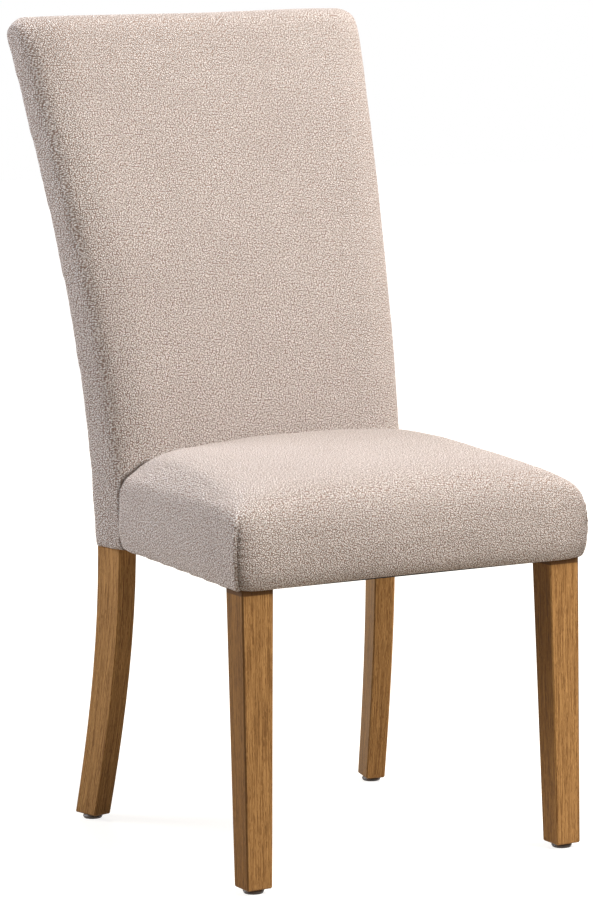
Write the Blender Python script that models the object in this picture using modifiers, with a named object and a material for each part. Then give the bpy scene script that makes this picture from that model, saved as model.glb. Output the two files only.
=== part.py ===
# Upholstered dining chair with a tall flared back, standing on Z = 0 and facing -Y.
# Lengths are in metres. Left is -X and right is +X, as seen by someone who faces the chair.
# Plan places are measured from the front face of the front legs, and one empty centres the chair.
import math

import bmesh
import bpy
from mathutils import Matrix, Vector

# Fits
GAP = 0.0003
OVERRUN = 0.03
WELD = 0.00001

# Front legs
FRONT_SPREAD = 0.470
LEG_SIDE = 0.042
LEG_FOOT_SIDE = 0.034
LEG_EASE = 0.0016

# Seat frame
HEM_HEIGHT = 0.364
SEAT_HEIGHT = 0.503
RAIL_LIFT = 0.003
RAIL_THICKNESS = 0.022
RAIL_FRONT_INSET = 0.0024
RAIL_REAR_INSET = 0.0079
REAR_RAIL_SETBACK = 0.004
RAIL_EASE = 0.001
BLOCK_LEG = 0.046
STRAP_WIDTH = 0.050
STRAP_THICKNESS = 0.0015
STRAP_LAP = 0.016
STRAP_SET = 0.004

# Joints
DOWEL_RADIUS = 0.004
DOWEL_LENGTH = 0.032
DOWEL_EASE = 0.001
TENON_REACH = 0.015
TENON_LAP = 0.010
TENON_HEIGHT = 0.024
TENON_THICKNESS = 0.008
TENON_SHOULDER = 0.008

# Rear posts, each sawn in one piece from the floor to the top of the back
POST_HALF = 0.2039
POST_FRONT = 0.3944
POST_SPLAY = math.radians(13.1)
POST_THICKNESS = 0.0288
POST_FOOT_THICKNESS = 0.0265
POST_DEPTH = 0.0465
POST_FOOT_DEPTH = 0.0414
POST_TOP_DEPTH = 0.034
POST_EASE = 0.0016
WAIST = 0.3916
FOOT_SWEEP = 0.0663
TOP_SWEEP = 0.184
FOOT_SWEEP_SHARES = (0.0, 1.315, -0.315)
TOP_SWEEP_SHARES = (0.192, 1.136, -0.328)
POST_STOP = 0.020
POST_CORNER = 0.038
POST_CORNER_WIDTH = 0.026

# Back frame
BACK_HEIGHT = 1.045
BACK_RAIL_THICKNESS = 0.020
TOP_RAIL_HEIGHT = 0.055
LOWER_RAIL_HEIGHT = 0.045
LOWER_RAIL_LIFT = 0.075

# Upholstery
COVER = 0.0015
WADDING = 0.005
FOAM_EASE = 0.0012
SEAT_OVERHANG = 0.0045
SIDE_OVERHANG = 0.0035
SEAT_BULGE = 0.0085
SEAT_ROLL = 0.022
REAR_ROLL = 0.010
SEAT_CORNER = 0.014
HEM_RETURN = 0.016
FRONT_PAD = 0.0301
SIDE_PAD = 0.010
REAR_SIDE_PAD = 0.0052
REAR_PAD = 0.0032
BACK_ROLL = 0.012
BACK_CORNER = 0.024
BACK_CROWN = 0.004
REAR_ROUND = 0.004
REAR_RETURN = 0.016
PANEL = 0.0012
PANEL_INSET = 0.007
PANEL_LIFT = 0.0012
DUST_COVER = 0.0008
DUST_INSET = 0.008
DUST_LAP = 0.010

# Hardware
GLIDE_HEIGHT = 0.006
GLIDE_RADIUS = 0.013
GLIDE_FLAT_RADIUS = 0.0115
NAIL_HEAD_RADIUS = 0.0035
NAIL_HEAD = 0.0012
NAIL_SHANK_RADIUS = 0.0012
NAIL_LENGTH = 0.020
SCREW_HEAD_RADIUS = 0.004
SCREW_HEAD = 0.0025
SCREW_SHANK_RADIUS = 0.002
SCREW_LENGTH = 0.026
SCREW_SET = 0.012
SCREW_SINK = 0.006
BOLT_HEAD_RADIUS = 0.0065
BOLT_HEAD = 0.005
BOLT_SHANK_RADIUS = 0.003
BOLT_LENGTH = 0.046
WASHER_RADIUS = 0.009
WASHER = 0.0015

# Shares of the height from the hem to the seat's crown, and of the rails' height
RAIL_SHARE = 0.4317
SHOULDER_SHARE = 0.82
BLOCK_SHARES = (0.25, 0.917)
DOWEL_LEVEL_SHARES = (0.28, 0.78)
DOWEL_SIDE_SHARE = 0.42

# Derived heights
SHOULDER_HEIGHT = HEM_HEIGHT + (SEAT_HEIGHT - HEM_HEIGHT) * SHOULDER_SHARE
RAIL_HEIGHT = (SEAT_HEIGHT - HEM_HEIGHT) * RAIL_SHARE
RAIL_BOTTOM = HEM_HEIGHT + RAIL_LIFT
RAIL_TOP = RAIL_BOTTOM + RAIL_HEIGHT
LONG_STRAP_BOTTOM = RAIL_TOP + GAP
CROSS_STRAP_BOTTOM = LONG_STRAP_BOTTOM + STRAP_THICKNESS + GAP
DECK = CROSS_STRAP_BOTTOM + STRAP_THICKNESS + GAP
POST_TOP = BACK_HEIGHT - POST_STOP
BLOCK_BOTTOM, BLOCK_TOP = (RAIL_BOTTOM + RAIL_HEIGHT * share for share in BLOCK_SHARES)
LEG_HALF = FRONT_SPREAD / 2
TAN = math.tan(POST_SPLAY)
COS = math.cos(POST_SPLAY)
SIN = math.sin(POST_SPLAY)

# Shares at which straps and screws lie
LONG_STRAP_SHARES = (-1.0, -0.34, 0.34, 1.0)
CROSS_STRAP_SHARES = (0.24, 0.50, 0.76)
BACK_STRAP_SHARES = (0.20, 0.43, 0.66, 0.89)
SCREW_LEVEL_SHARES = (0.75, 0.25)

# How far the middle of a rounded corner lies inside the square one, for a radius of one
ROUND_SHARE = 1 - math.sqrt(0.5)

# Shares of a cushion's width, depth or height at which its cage has a line
SEAT_COLUMN_SHARES = (-1.0, -0.955, -0.55, 0.0, 0.55, 0.955, 1.0)
SEAT_ROW_SHARES = (0.0, 0.04, 0.28, 0.62, 0.93, 1.0)
SEAT_CROWN_SHARES = (
    (0.0, 0.0, -0.20, -0.35),
    (0.36, 0.32, 0.02, -0.22),
    (0.88, 0.86, 0.34, 0.0),
    (1.0, 0.98, 0.62, 0.0),
    (0.94, 0.86, 0.42, 0.0),
    (0.84, 0.68, 0.02, -0.20),
)
SEAT_RING_SHARES = (1.0, 0.80, 0.46, 0.0, 0.0)
SEAT_BULGE_SHARES = (0.0, 0.5, 1.0, 0.0, 0.0)
SEAT_CORNER_SHARES = (1.0, 0.7, 0.2, 0.0, 0.0)
PADDING_CORNER_SHARES = (1.0, 1.0, 1.0, 1.0)
BACK_COLUMN_SHARES = (-1.0, -0.89, -0.48, 0.0, 0.48, 0.89, 1.0)
BACK_ROW_SHARES = (0.0, 0.15, 0.32, 0.49, 0.66, 0.83, 0.96, 1.0)
BACK_RING_SHARES = (0.0, 0.18, 0.60)
PANEL_COLUMN_SHARES = (-1.0, -0.88, -0.4, 0.4, 0.88, 1.0)

SIDES = (("left", -1), ("right", 1))


def clear_scene():
    for obj in list(bpy.data.objects):
        bpy.data.objects.remove(obj, do_unlink=True)


def collection(name):
    found = bpy.data.collections.new(name)
    bpy.context.scene.collection.children.link(found)
    return found


def material(name, color, roughness, metallic=0.0):
    made = bpy.data.materials.new(name)
    made.use_nodes = True
    shader = made.node_tree.nodes["Principled BSDF"]
    shader.inputs["Base Color"].default_value = (*color, 1.0)
    shader.inputs["Roughness"].default_value = roughness
    shader.inputs["Metallic"].default_value = metallic
    made.diffuse_color = (*color, 1.0)
    return made


def mix(low, high, share):
    return low + (high - low) * share


def steps(low, high, count):
    return [mix(low, high, i / count) for i in range(count + 1)]


# The line of the rear posts

def sweep(z):
    """How far the front edge of a post has swept backwards at this height."""
    if z > WAIST:
        share, reach, terms = (z - WAIST) / (BACK_HEIGHT - WAIST), TOP_SWEEP, TOP_SWEEP_SHARES
    else:
        share, reach, terms = (WAIST - z) / WAIST, FOOT_SWEEP, FOOT_SWEEP_SHARES
    return reach * sum(term * share ** (power + 1) for power, term in enumerate(terms))


def post_depth(z):
    if z > WAIST:
        return mix(POST_DEPTH, POST_TOP_DEPTH, (z - WAIST) / (BACK_HEIGHT - WAIST))
    return mix(POST_DEPTH, POST_FOOT_DEPTH, (WAIST - z) / WAIST)


def post_thickness(z):
    return mix(POST_THICKNESS, POST_FOOT_THICKNESS, max(0.0, (WAIST - z) / WAIST))


def post_point(z, across, back):
    """A point on the right post: across runs inwards from its outer face, back runs along it."""
    out = sweep(z) + back
    return (POST_HALF + out * SIN - across * COS, POST_FRONT + out * COS + across * SIN)


def face_line(z, x):
    """The front face of the right post, as Y at a given X."""
    corner = post_point(z, 0, 0)
    return corner[1] + (corner[0] - x) * TAN


def rail_outer(y):
    """The outer face of the right side rail, as X at a given Y."""
    share = (y - LEG_SIDE) / (POST_FRONT - LEG_SIDE)
    return mix(LEG_HALF - RAIL_FRONT_INSET, POST_HALF - RAIL_REAR_INSET, share)


RAIL_SLOPE = math.atan2(rail_outer(LEG_SIDE) - rail_outer(POST_FRONT), POST_FRONT - LEG_SIDE)
RAIL_ACROSS = RAIL_THICKNESS / math.cos(RAIL_SLOPE)


def back_front(z):
    """The front corner of the back's cover on the right: half width and Y."""
    return post_point(z, -SIDE_PAD, -FRONT_PAD)


def back_edge(z):
    """The rear corner of the back's cover on the right: half width and Y."""
    return post_point(z, -REAR_SIDE_PAD, post_depth(z) + REAR_PAD)


def back_rear(z, x):
    """Y of the cover's rear surface, which follows the posts' rear faces and runs straight between."""
    edge = back_edge(z)
    reach = min(edge[0] - abs(x), (REAR_SIDE_PAD + post_thickness(z)) * COS)
    return edge[1] + max(reach, 0) * TAN


CENTRE = (back_rear(BACK_HEIGHT, 0) + PANEL_LIFT + PANEL - SEAT_OVERHANG - SEAT_BULGE) / 2


# Building blocks

def add(name, bm, finish, home=None, closed=True):
    if closed:
        bmesh.ops.recalc_face_normals(bm, faces=bm.faces)
    mesh = bpy.data.meshes.new(name)
    bm.to_mesh(mesh)
    bm.free()
    obj = bpy.data.objects.new(name, mesh)
    if finish:
        mesh.materials.append(finish)
    (home or PARTS).objects.link(obj)
    obj.parent = ORIGIN
    return obj


def loft(name, sections, finish, home=None):
    """A closed solid pushed from its first section through each of the others."""
    bm = bmesh.new()
    start = face = bm.faces.new([bm.verts.new(point) for point in sections[0]])
    for section in sections[1:]:
        pushed = bmesh.ops.extrude_face_region(bm, geom=[face])["geom"]
        if face != start:
            bm.faces.remove(face)
        face = next(item for item in pushed if isinstance(item, bmesh.types.BMFace))
        for vert, point in zip(face.verts, section):
            vert.co = point
    return add(name, bm, finish, home)


def prism(name, outline, bottom, top, finish, home=None):
    return loft(name, [[(x, y, z) for x, y in outline] for z in (bottom, top)], finish, home)


def mirrored(points, sign):
    return [(sign * x, y) for x, y in points]


def both_halves(points):
    """A whole outline from its right half, listed from the front of the middle line to its rear."""
    return points + [(-x, y) for x, y in reversed(points) if abs(x) > GAP]


def ease(obj, width):
    bevel = obj.modifiers.new("ease", "BEVEL")
    bevel.width = width
    bevel.segments = 1
    bevel.limit_method = "ANGLE"
    return obj


def cutter(obj):
    obj.hide_render = True
    obj.display_type = "WIRE"
    return obj


def cut(obj, tool, operation="DIFFERENCE"):
    change = obj.modifiers.new(f"shaped by {tool.name}", "BOOLEAN")
    change.operation = operation
    change.solver = "EXACT"
    change.object = tool


def turned(name, profile, finish, place, home=None, loop=False, sides=16):
    """A turned solid. Its profile runs down the outer side, and a loop leaves a bore."""
    bm = bmesh.new()
    points = [bm.verts.new((radius, 0, height)) for radius, height in profile]
    pairs = list(zip(points, points[1:])) + ([(points[-1], points[0])] if loop else [])
    for start, end in pairs:
        bm.edges.new((start, end))
    obj = add(name, bm, finish, home)
    obj.matrix_local = place
    screw = obj.modifiers.new("turn", "SCREW")
    screw.steps = screw.render_steps = sides
    screw.use_merge_vertices = True
    screw.merge_threshold = WELD
    screw.use_normal_calculate = False
    return obj


def pointing(start, direction):
    """A place whose local -Z points along direction, as a driven screw does."""
    turn = Vector(direction).to_track_quat("-Z", "Y").to_matrix().to_4x4()
    return Matrix.Translation(Vector(start)) @ turn


def fastener(name, place, head_radius, head, shank_radius, length, finish, slack=0):
    """A headed screw seated at its place, and the stepped bore that it is driven in."""
    tip = shank_radius
    profile = [(0, head), (head_radius, head), (head_radius, 0), (shank_radius, 0)]
    profile += [(shank_radius, tip - length), (0, -length)]
    turned(name, profile, finish, place)
    wide, narrow, depth = head_radius + slack + GAP, shank_radius + GAP, length + GAP
    bore = [(0, OVERRUN), (wide, OVERRUN), (wide, -slack - GAP), (narrow, -slack - GAP)]
    bore += [(narrow, -depth), (0, -depth)]
    return cutter(turned(f"{name}_bore", bore, None, place, CUTTERS))


def pillow(name, columns, rows, rings, place, finish, open_front=False, cap=False, sharp_ring=0):
    """A cage of a cushion's face with rings of side faces round it.

    place gives the point of ring k at the shares a and b of the face's width and length.
    The sharp ring stays an edge when the cage is smoothed, and a cap closes the last ring.
    """
    bm = bmesh.new()
    crease = bm.edges.layers.float.new("crease_edge")
    grid = [[bm.verts.new(place(0, a, b)) for a in columns] for b in rows]
    last, end = len(columns) - 1, len(rows) - 1
    for low, high in zip(grid, grid[1:]):
        for i in range(last):
            bm.faces.new((low[i], low[i + 1], high[i + 1], high[i]))
    walk = [(last, j) for j in range(end + 1)] + [(i, end) for i in reversed(range(last))]
    walk += [(0, j) for j in reversed(range(end))]
    if not open_front:
        walk += [(i, 0) for i in range(1, last)]
    above = [grid[j][i] for i, j in walk]
    for k in range(1, rings + 1):
        below = [bm.verts.new(place(k, columns[i], rows[j])) for i, j in walk]
        spans = len(walk) - 1 if open_front else len(walk)
        for n in range(spans):
            m = (n + 1) % len(walk)
            bm.faces.new((above[m], above[n], below[n], below[m]))
        above = below
        if k == sharp_ring:
            for edge in {edge for vert in above for edge in vert.link_edges}:
                edge[crease] = float(all(vert in above for vert in edge.verts))
    if cap:
        bm.faces.new(above)
    cushion = add(name, bm, finish, closed=cap)
    cushion.data.shade_smooth()
    return cushion


def soften(obj, inward, thickness):
    """Smooths a cage, moves it inwards and gives it the thickness of its sheet."""
    smooth = obj.modifiers.new("smooth", "SUBSURF")
    smooth.levels = smooth.render_levels = 1
    if inward:
        inset = obj.modifiers.new("inset", "DISPLACE")
        inset.strength = -inward
        inset.mid_level = 0.0
    if thickness:
        sheet = obj.modifiers.new("sheet", "SOLIDIFY")
        sheet.thickness = thickness
        sheet.offset = -1.0
    return obj


# The soft surfaces

def seat_place(deep, lowest, corner_shares):
    """Points of the seat cushion's surface, set inwards by deep and cut off at lowest."""
    outs = (-SEAT_ROLL, 0, 0, 0, -HEM_RETURN)
    rear_outs = (-REAR_ROLL, 0, 0, 0, -HEM_RETURN)
    heights = [mix(HEM_HEIGHT, SHOULDER_HEIGHT, share) for share in SEAT_RING_SHARES]
    bulges = [SEAT_BULGE * share for share in SEAT_BULGE_SHARES]

    def place(k, a, b):
        z, bulge = heights[k], bulges[k]
        if z < lowest:
            bulge = mix(bulge, bulges[k - 1], (lowest - z) / (heights[k - 1] - z))
            z = lowest
        out = outs[k] + bulge - deep
        if k < 2:
            z -= deep
        if k == 0:
            crown = SEAT_CROWN_SHARES[SEAT_ROW_SHARES.index(b)]
            z += (SEAT_HEIGHT - SHOULDER_HEIGHT) * crown[abs(SEAT_COLUMN_SHARES.index(a) - 3)]
        front = -SEAT_OVERHANG - out
        rear = back_front(z)[1] + rear_outs[k] - deep - 2 * GAP
        y = mix(front, rear, b)
        half = rail_outer(y) + SIDE_OVERHANG + out
        corner = SEAT_CORNER * corner_shares[k] * ROUND_SHARE if abs(a) == 1 and b in (0.0, 1.0) else 0
        inward = corner if b == 0.0 else -corner
        return (a * half - math.copysign(corner, a), y + inward, z)

    return place


def back_place(k, a, b):
    """A point of ring k of the back cushion's surface."""
    inset = (BACK_ROLL, 0, 0, 0, REAR_ROUND, REAR_RETURN)[k]
    corner = BACK_CORNER * ROUND_SHARE if abs(a) == 1 and b == 1.0 else 0
    z = mix(HEM_HEIGHT, BACK_HEIGHT - inset, b) - corner
    front, rear = back_front(z), back_edge(z)
    share = BACK_RING_SHARES[k] if k < 3 else 1 - REAR_ROUND / (rear[1] - front[1])
    x = a * (mix(front[0], rear[0], share) - inset) - math.copysign(corner, a)
    y = mix(front[1], rear[1], share)
    if k == 0:
        y -= BACK_CROWN * (1 - a * a) * (1 - (2 * b - 1) ** 2)
    if k > 3:
        y = back_rear(z, x) - (GAP if k == 5 else 0)
    return (x, y, z)


# The wooden frame

def front_legs():
    legs = {}
    for side, sign in SIDES:
        outer, inner, foot = LEG_HALF, LEG_HALF - LEG_SIDE, LEG_HALF - LEG_FOOT_SIDE
        square = [(outer, 0), (outer, LEG_SIDE), (inner, LEG_SIDE), (inner, 0)]
        small = [(outer, 0), (outer, LEG_FOOT_SIDE), (foot, LEG_FOOT_SIDE), (foot, 0)]
        levels = ((GLIDE_HEIGHT, small), (HEM_HEIGHT, square), (RAIL_TOP, square))
        sections = [[(x, y, z) for x, y in mirrored(points, sign)] for z, points in levels]
        legs[side] = ease(loft(f"front_leg_{side}", sections, OAK), LEG_EASE)
    return legs


def drawn_in(z, top, tall, wide):
    """How far a rounded top corner, this tall and this wide, has come inwards at this height."""
    share = max(0.0, z - top + tall) / tall
    return wide * (1 - math.sqrt(max(0.0, 1 - share * share)))


def post_section(z, sign):
    wide, deep = post_thickness(z), post_depth(z)
    trim = drawn_in(z, POST_TOP, POST_CORNER, POST_CORNER_WIDTH)
    corners = [(trim, 0), (trim, deep), (wide, deep), (wide, 0)]
    points = [post_point(z, across, back) for across, back in corners]
    return [(x, y, z) for x, y in mirrored(points, sign)]


def rear_posts():
    posts = {}
    shoulder = POST_TOP - POST_CORNER
    levels = steps(GLIDE_HEIGHT, WAIST, 10) + steps(WAIST, shoulder, 13)[1:]
    levels += steps(shoulder, POST_TOP, 4)[1:]
    for side, sign in SIDES:
        sections = [post_section(z, sign) for z in levels]
        posts[side] = ease(loft(f"rear_post_{side}", sections, OAK), POST_EASE)
    return posts


def seat_rails():
    rails = {}
    half = LEG_HALF - LEG_SIDE - GAP
    front = [(half, 0), (half, RAIL_THICKNESS), (-half, RAIL_THICKNESS), (-half, 0)]
    rails["front"] = prism("seat_rail_front", front, RAIL_BOTTOM, RAIL_TOP, BEECH)

    levels = steps(RAIL_BOTTOM, RAIL_TOP, 3)
    start = LEG_SIDE + GAP
    for side, sign in SIDES:
        sections = []
        for z in levels:
            end = face_line(z, rail_outer(POST_FRONT)) - GAP
            outer = rail_outer(end)
            inner = outer - RAIL_ACROSS
            points = [
                (rail_outer(start), start),
                (outer, end),
                (inner, end + RAIL_ACROSS * TAN),
                (rail_outer(start) - RAIL_ACROSS, start),
            ]
            sections.append([(x, y, z) for x, y in mirrored(points, sign)])
        rails[side] = loft(f"seat_rail_{side}", sections, BEECH)
    rails["rear"] = cross_rail("seat_rail_rear", RAIL_BOTTOM, RAIL_TOP, REAR_RAIL_SETBACK, RAIL_THICKNESS)
    for rail in rails.values():
        ease(rail, RAIL_EASE)
    return rails


def cross_rail(name, bottom, top, setback, thickness):
    """A rail whose ends fit between the posts' inner faces and which follows their sweep."""
    sections = []
    for z in steps(bottom, top, 3):
        near = post_point(z, post_thickness(z) + GAP, setback)
        far = post_point(z, post_thickness(z) + GAP, setback + thickness / COS)
        sections.append([(x, y, z) for x, y in both_halves([near, far])])
    return loft(name, sections, BEECH)


def back_rails(posts):
    """Two rails across the back, each with a tenon in either post."""
    low = DECK + LOWER_RAIL_LIFT
    high = POST_TOP - TOP_RAIL_HEIGHT
    lower = cross_rail("back_rail_lower", low, low + LOWER_RAIL_HEIGHT, 0, BACK_RAIL_THICKNESS)
    upper = cross_rail("back_rail_top", high, POST_TOP, 0, BACK_RAIL_THICKNESS)
    for rail, bottom in ((lower, low), (upper, high)):
        ease(rail, RAIL_EASE)
        for side, sign in SIDES:
            cut(rail, tenon(f"tenon_{rail.name}_{side}", bottom, sign), "UNION")
            cut(posts[side], tenon(f"mortise_{rail.name}_{side}", bottom, sign, GAP))


def tenon(name, bottom, sign, grow=0):
    """The tenon on a back rail's end, or the mortise round it where it is grown by the gap."""
    low = bottom + TENON_SHOULDER
    front = (BACK_RAIL_THICKNESS - TENON_THICKNESS) / 2 - grow
    rear = front + TENON_THICKNESS + 2 * grow
    sections = []
    for z in steps(low - grow, low + TENON_HEIGHT + grow, 2):
        root, tip = post_thickness(z) + TENON_LAP, post_thickness(z) - TENON_REACH - grow
        corners = ((root, front), (tip, front), (tip, rear), (root, rear))
        points = [post_point(z, across, back) for across, back in corners]
        sections.append([(x, y, z) for x, y in mirrored(points, sign)])
    return cutter(loft(name, sections, None, CUTTERS))


def dowels(legs, posts, rails):
    """A dowel across the middle of each joint of the seat frame."""
    low, high = (mix(RAIL_BOTTOM, RAIL_TOP, share) for share in DOWEL_LEVEL_SHARES)
    side_x = rail_outer(POST_FRONT) - RAIL_THICKNESS * DOWEL_SIDE_SHARE
    rear = post_point(low, post_thickness(low), REAR_RAIL_SETBACK + RAIL_THICKNESS / (2 * COS))
    end, wide, ends = DOWEL_LENGTH / 2, DOWEL_RADIUS, DOWEL_RADIUS - DOWEL_EASE
    profile = [(0, end), (ends, end), (wide, end - DOWEL_EASE)]
    profile += [(radius, -height) for radius, height in reversed(profile)]
    bore = [(0, end + GAP), (wide + GAP, end + GAP), (wide + GAP, -end - GAP), (0, -end - GAP)]
    for side, sign in SIDES:
        leg, post, rail = legs[side], posts[side], rails[side]
        joints = (
            ("front", (LEG_HALF - LEG_SIDE, RAIL_THICKNESS / 2, low), (1, 0), leg, rails["front"]),
            ("side_front", (rail_outer(LEG_SIDE) - RAIL_ACROSS / 2, LEG_SIDE, high), (0, -1), leg, rail),
            ("side_rear", (side_x, face_line(high, side_x), high), (SIN, COS), post, rail),
            ("rear", (*rear, low), (COS, -SIN), post, rails["rear"]),
        )
        for joint, (x, y, z), (dx, dy), *woods in joints:
            place = pointing((sign * x, y, z), (sign * dx, dy, 0))
            turned(f"dowel_{joint}_{side}", profile, BEECH, place, sides=12)
            hole = cutter(turned(f"dowel_{joint}_{side}_bore", bore, None, place, CUTTERS, sides=12))
            for wood in woods:
                cut(wood, hole)


def rail_inner(y):
    return rail_outer(y) - RAIL_ACROSS


def front_blocks(legs):
    """Notched blocks behind the front legs, each with a lag bolt driven into its leg."""
    near = RAIL_THICKNESS + GAP
    behind = LEG_SIDE + GAP
    tail = behind + BLOCK_LEG
    leg_inner = LEG_HALF - LEG_SIDE - GAP
    nose = leg_inner - BLOCK_LEG
    points = [
        (leg_inner, near),
        (leg_inner, behind),
        (rail_inner(behind) - GAP, behind),
        (rail_inner(tail) - GAP, tail),
        (nose, near),
    ]
    start, end = Vector((nose, near)), Vector((rail_inner(tail) - GAP, tail))
    middle = (start + end) / 2
    inward = Vector((end.y - start.y, start.x - end.x)).normalized()
    for side, sign in SIDES:
        outline = mirrored(points, sign)
        block = prism(f"corner_block_front_{side}", outline, BLOCK_BOTTOM, BLOCK_TOP, BEECH)
        z = (BLOCK_BOTTOM + BLOCK_TOP) / 2
        seat = middle - inward * (WASHER + 2 * GAP)
        place = pointing((sign * seat.x, seat.y, z), (sign * inward.x, inward.y, 0))
        bore = fastener(
            f"lag_bolt_{side}", place, BOLT_HEAD_RADIUS, BOLT_HEAD, BOLT_SHANK_RADIUS, BOLT_LENGTH, STEEL
        )
        washer(f"lag_washer_{side}", place)
        cut(block, bore)
        cut(legs[side], bore)


def washer(name, place):
    inner, top, bottom = BOLT_SHANK_RADIUS + GAP, -GAP, -GAP - WASHER
    profile = [(inner, top), (WASHER_RADIUS, top), (WASHER_RADIUS, bottom), (inner, bottom)]
    turned(name, profile, STEEL, place, loop=True)


def rear_blocks(rails):
    """Blocks in the corners in front of the posts, each with a screw into either rail."""
    levels = steps(RAIL_BOTTOM, RAIL_TOP, 6)
    near = min(post_point(z, POST_THICKNESS, REAR_RAIL_SETBACK)[1] for z in levels) - GAP
    head = face_line(RAIL_BOTTOM, rail_inner(POST_FRONT)) - BLOCK_LEG
    inner = rail_inner(near) - GAP - BLOCK_LEG
    points = [(rail_inner(near) - GAP, near), (inner, near), (rail_inner(head) - GAP, head)]
    rear_x = inner + SCREW_SET
    side_y = head + SCREW_SET
    side_x = rail_inner(side_y) - SCREW_SINK
    upper, lower = (mix(BLOCK_BOTTOM, BLOCK_TOP, share) for share in SCREW_LEVEL_SHARES)
    for side, sign in SIDES:
        outline = mirrored(points, sign)
        block = prism(f"corner_block_rear_{side}", outline, BLOCK_BOTTOM, BLOCK_TOP, BEECH)
        drives = (
            ("rear", (sign * rear_x, near - SCREW_SINK, upper), (0, 1, 0)),
            ("side", (sign * side_x, side_y, lower), (sign, 0, 0)),
        )
        for target, start, direction in drives:
            bore = fastener(
                f"block_screw_{target}_{side}",
                pointing(start, direction),
                SCREW_HEAD_RADIUS,
                SCREW_HEAD,
                SCREW_SHANK_RADIUS,
                SCREW_LENGTH,
                STEEL,
            )
            cut(block, bore)
            cut(rails["rear" if target == "rear" else side], bore)


def glides(legs, posts):
    """A nylon disc under each leg, held by the nail in its middle."""
    front_mid = LEG_FOOT_SIDE / 2
    foot = post_point(GLIDE_HEIGHT, POST_FOOT_THICKNESS / 2, POST_FOOT_DEPTH / 2)
    bore, top = NAIL_SHANK_RADIUS + GAP, GLIDE_HEIGHT - GAP
    well, floor = NAIL_HEAD_RADIUS + GAP, 2 * NAIL_HEAD
    profile = [
        (bore, top),
        (GLIDE_FLAT_RADIUS, top),
        (GLIDE_RADIUS, top / 2),
        (GLIDE_FLAT_RADIUS, 0),
        (well, 0),
        (well, floor),
        (bore, floor),
    ]
    for side, sign in SIDES:
        spots = (
            ("front", LEG_HALF - front_mid, front_mid, legs[side]),
            ("rear", foot[0], foot[1], posts[side]),
        )
        for end, x, y, wood in spots:
            place = Matrix.Translation((sign * x, y, 0))
            turned(f"glide_{end}_{side}", profile, NYLON, place, loop=True, sides=24)
            nail_seat = (sign * x, y, floor - GAP)
            hole = fastener(
                f"glide_nail_{end}_{side}",
                pointing(nail_seat, (0, 0, 1)),
                NAIL_HEAD_RADIUS,
                NAIL_HEAD,
                NAIL_SHANK_RADIUS,
                NAIL_LENGTH,
                STEEL,
            )
            cut(wood, hole)


# Webbing

def seat_straps():
    """Four straps run from front to rear and three lie across them."""
    half = STRAP_WIDTH / 2
    front = RAIL_THICKNESS - STRAP_LAP
    rear = post_point(RAIL_TOP, POST_THICKNESS, REAR_RAIL_SETBACK)[1] + STRAP_LAP
    reach = LEG_HALF - LEG_SIDE - half - GAP
    rear_reach = post_point(RAIL_TOP, POST_THICKNESS, 0)[0] - half - STRAP_SET
    top = LONG_STRAP_BOTTOM + STRAP_THICKNESS
    for n, share in enumerate(LONG_STRAP_SHARES):
        x, far = share * reach, share * rear_reach
        outline = [(x - half, front), (x + half, front), (far + half, rear), (far - half, rear)]
        prism(f"seat_strap_long_{n + 1}", outline, LONG_STRAP_BOTTOM, top, WEBBING)
    top = CROSS_STRAP_BOTTOM + STRAP_THICKNESS
    for n, share in enumerate(CROSS_STRAP_SHARES):
        near, far = mix(front, rear, share) - half, mix(front, rear, share) + half
        right = [(rail_inner(near) + STRAP_LAP, near), (rail_inner(far) + STRAP_LAP, far)]
        prism(f"seat_strap_cross_{n + 1}", both_halves(right), CROSS_STRAP_BOTTOM, top, WEBBING)


def back_straps():
    """Straps stapled across the posts' front faces."""
    low, high = DECK + LOWER_RAIL_LIFT, POST_TOP
    for n, share in enumerate(BACK_STRAP_SHARES):
        middle = mix(low, high, share)
        bm = bmesh.new()
        rows = []
        for z in steps(middle - STRAP_WIDTH / 2, middle + STRAP_WIDTH / 2, 2):
            outer = post_point(z, STRAP_SET, -GAP)
            inner = post_point(z, post_thickness(z), -GAP)
            line = [(-outer[0], outer[1]), (-inner[0], inner[1]), inner, outer]
            rows.append([bm.verts.new((x, y, z)) for x, y in line])
        for under, over in zip(rows, rows[1:]):
            for i in range(len(under) - 1):
                bm.faces.new((under[i], under[i + 1], over[i + 1], over[i]))
        obj = add(f"back_strap_{n + 1}", bm, WEBBING, closed=False)
        sheet = obj.modifiers.new("sheet", "SOLIDIFY")
        sheet.thickness = STRAP_THICKNESS
        sheet.offset = 1.0


# Upholstery

def clearance_outline():
    """The plan of the seat frame with the gap that the upholstery keeps to it."""
    rear = POST_FRONT + OVERRUN
    leg = LEG_HALF + GAP
    right = [
        (leg - LEG_EASE, -GAP),
        (leg, LEG_EASE - GAP),
        (leg, LEG_SIDE + GAP),
        (rail_outer(LEG_SIDE) + GAP, LEG_SIDE + GAP),
        (rail_outer(rear) + GAP, rear),
    ]
    return both_halves(right)


def frame_cutters():
    tools = [prism("frame_clearance", clearance_outline(), RAIL_BOTTOM - GAP, DECK, None, CUTTERS)]
    under, over = HEM_HEIGHT - OVERRUN, RAIL_BOTTOM + 2 * RAIL_LIFT
    rear = POST_FRONT + OVERRUN
    front = POST_FRONT - 2 * FRONT_PAD
    right = [(rail_outer(front), front), (rail_outer(rear), rear)]
    tools.append(prism("rear_clearance", both_halves(right), under, over, None, CUTTERS))
    for side, sign in SIDES:
        inner, outer = LEG_HALF - LEG_SIDE - GAP, LEG_HALF + GAP
        square = [(outer, -GAP), (outer, LEG_SIDE + GAP), (inner, LEG_SIDE + GAP), (inner, -GAP)]
        tools.append(prism(f"leg_clearance_{side}", mirrored(square, sign), under, over, None, CUTTERS))
    return [cutter(tool) for tool in tools]


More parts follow.
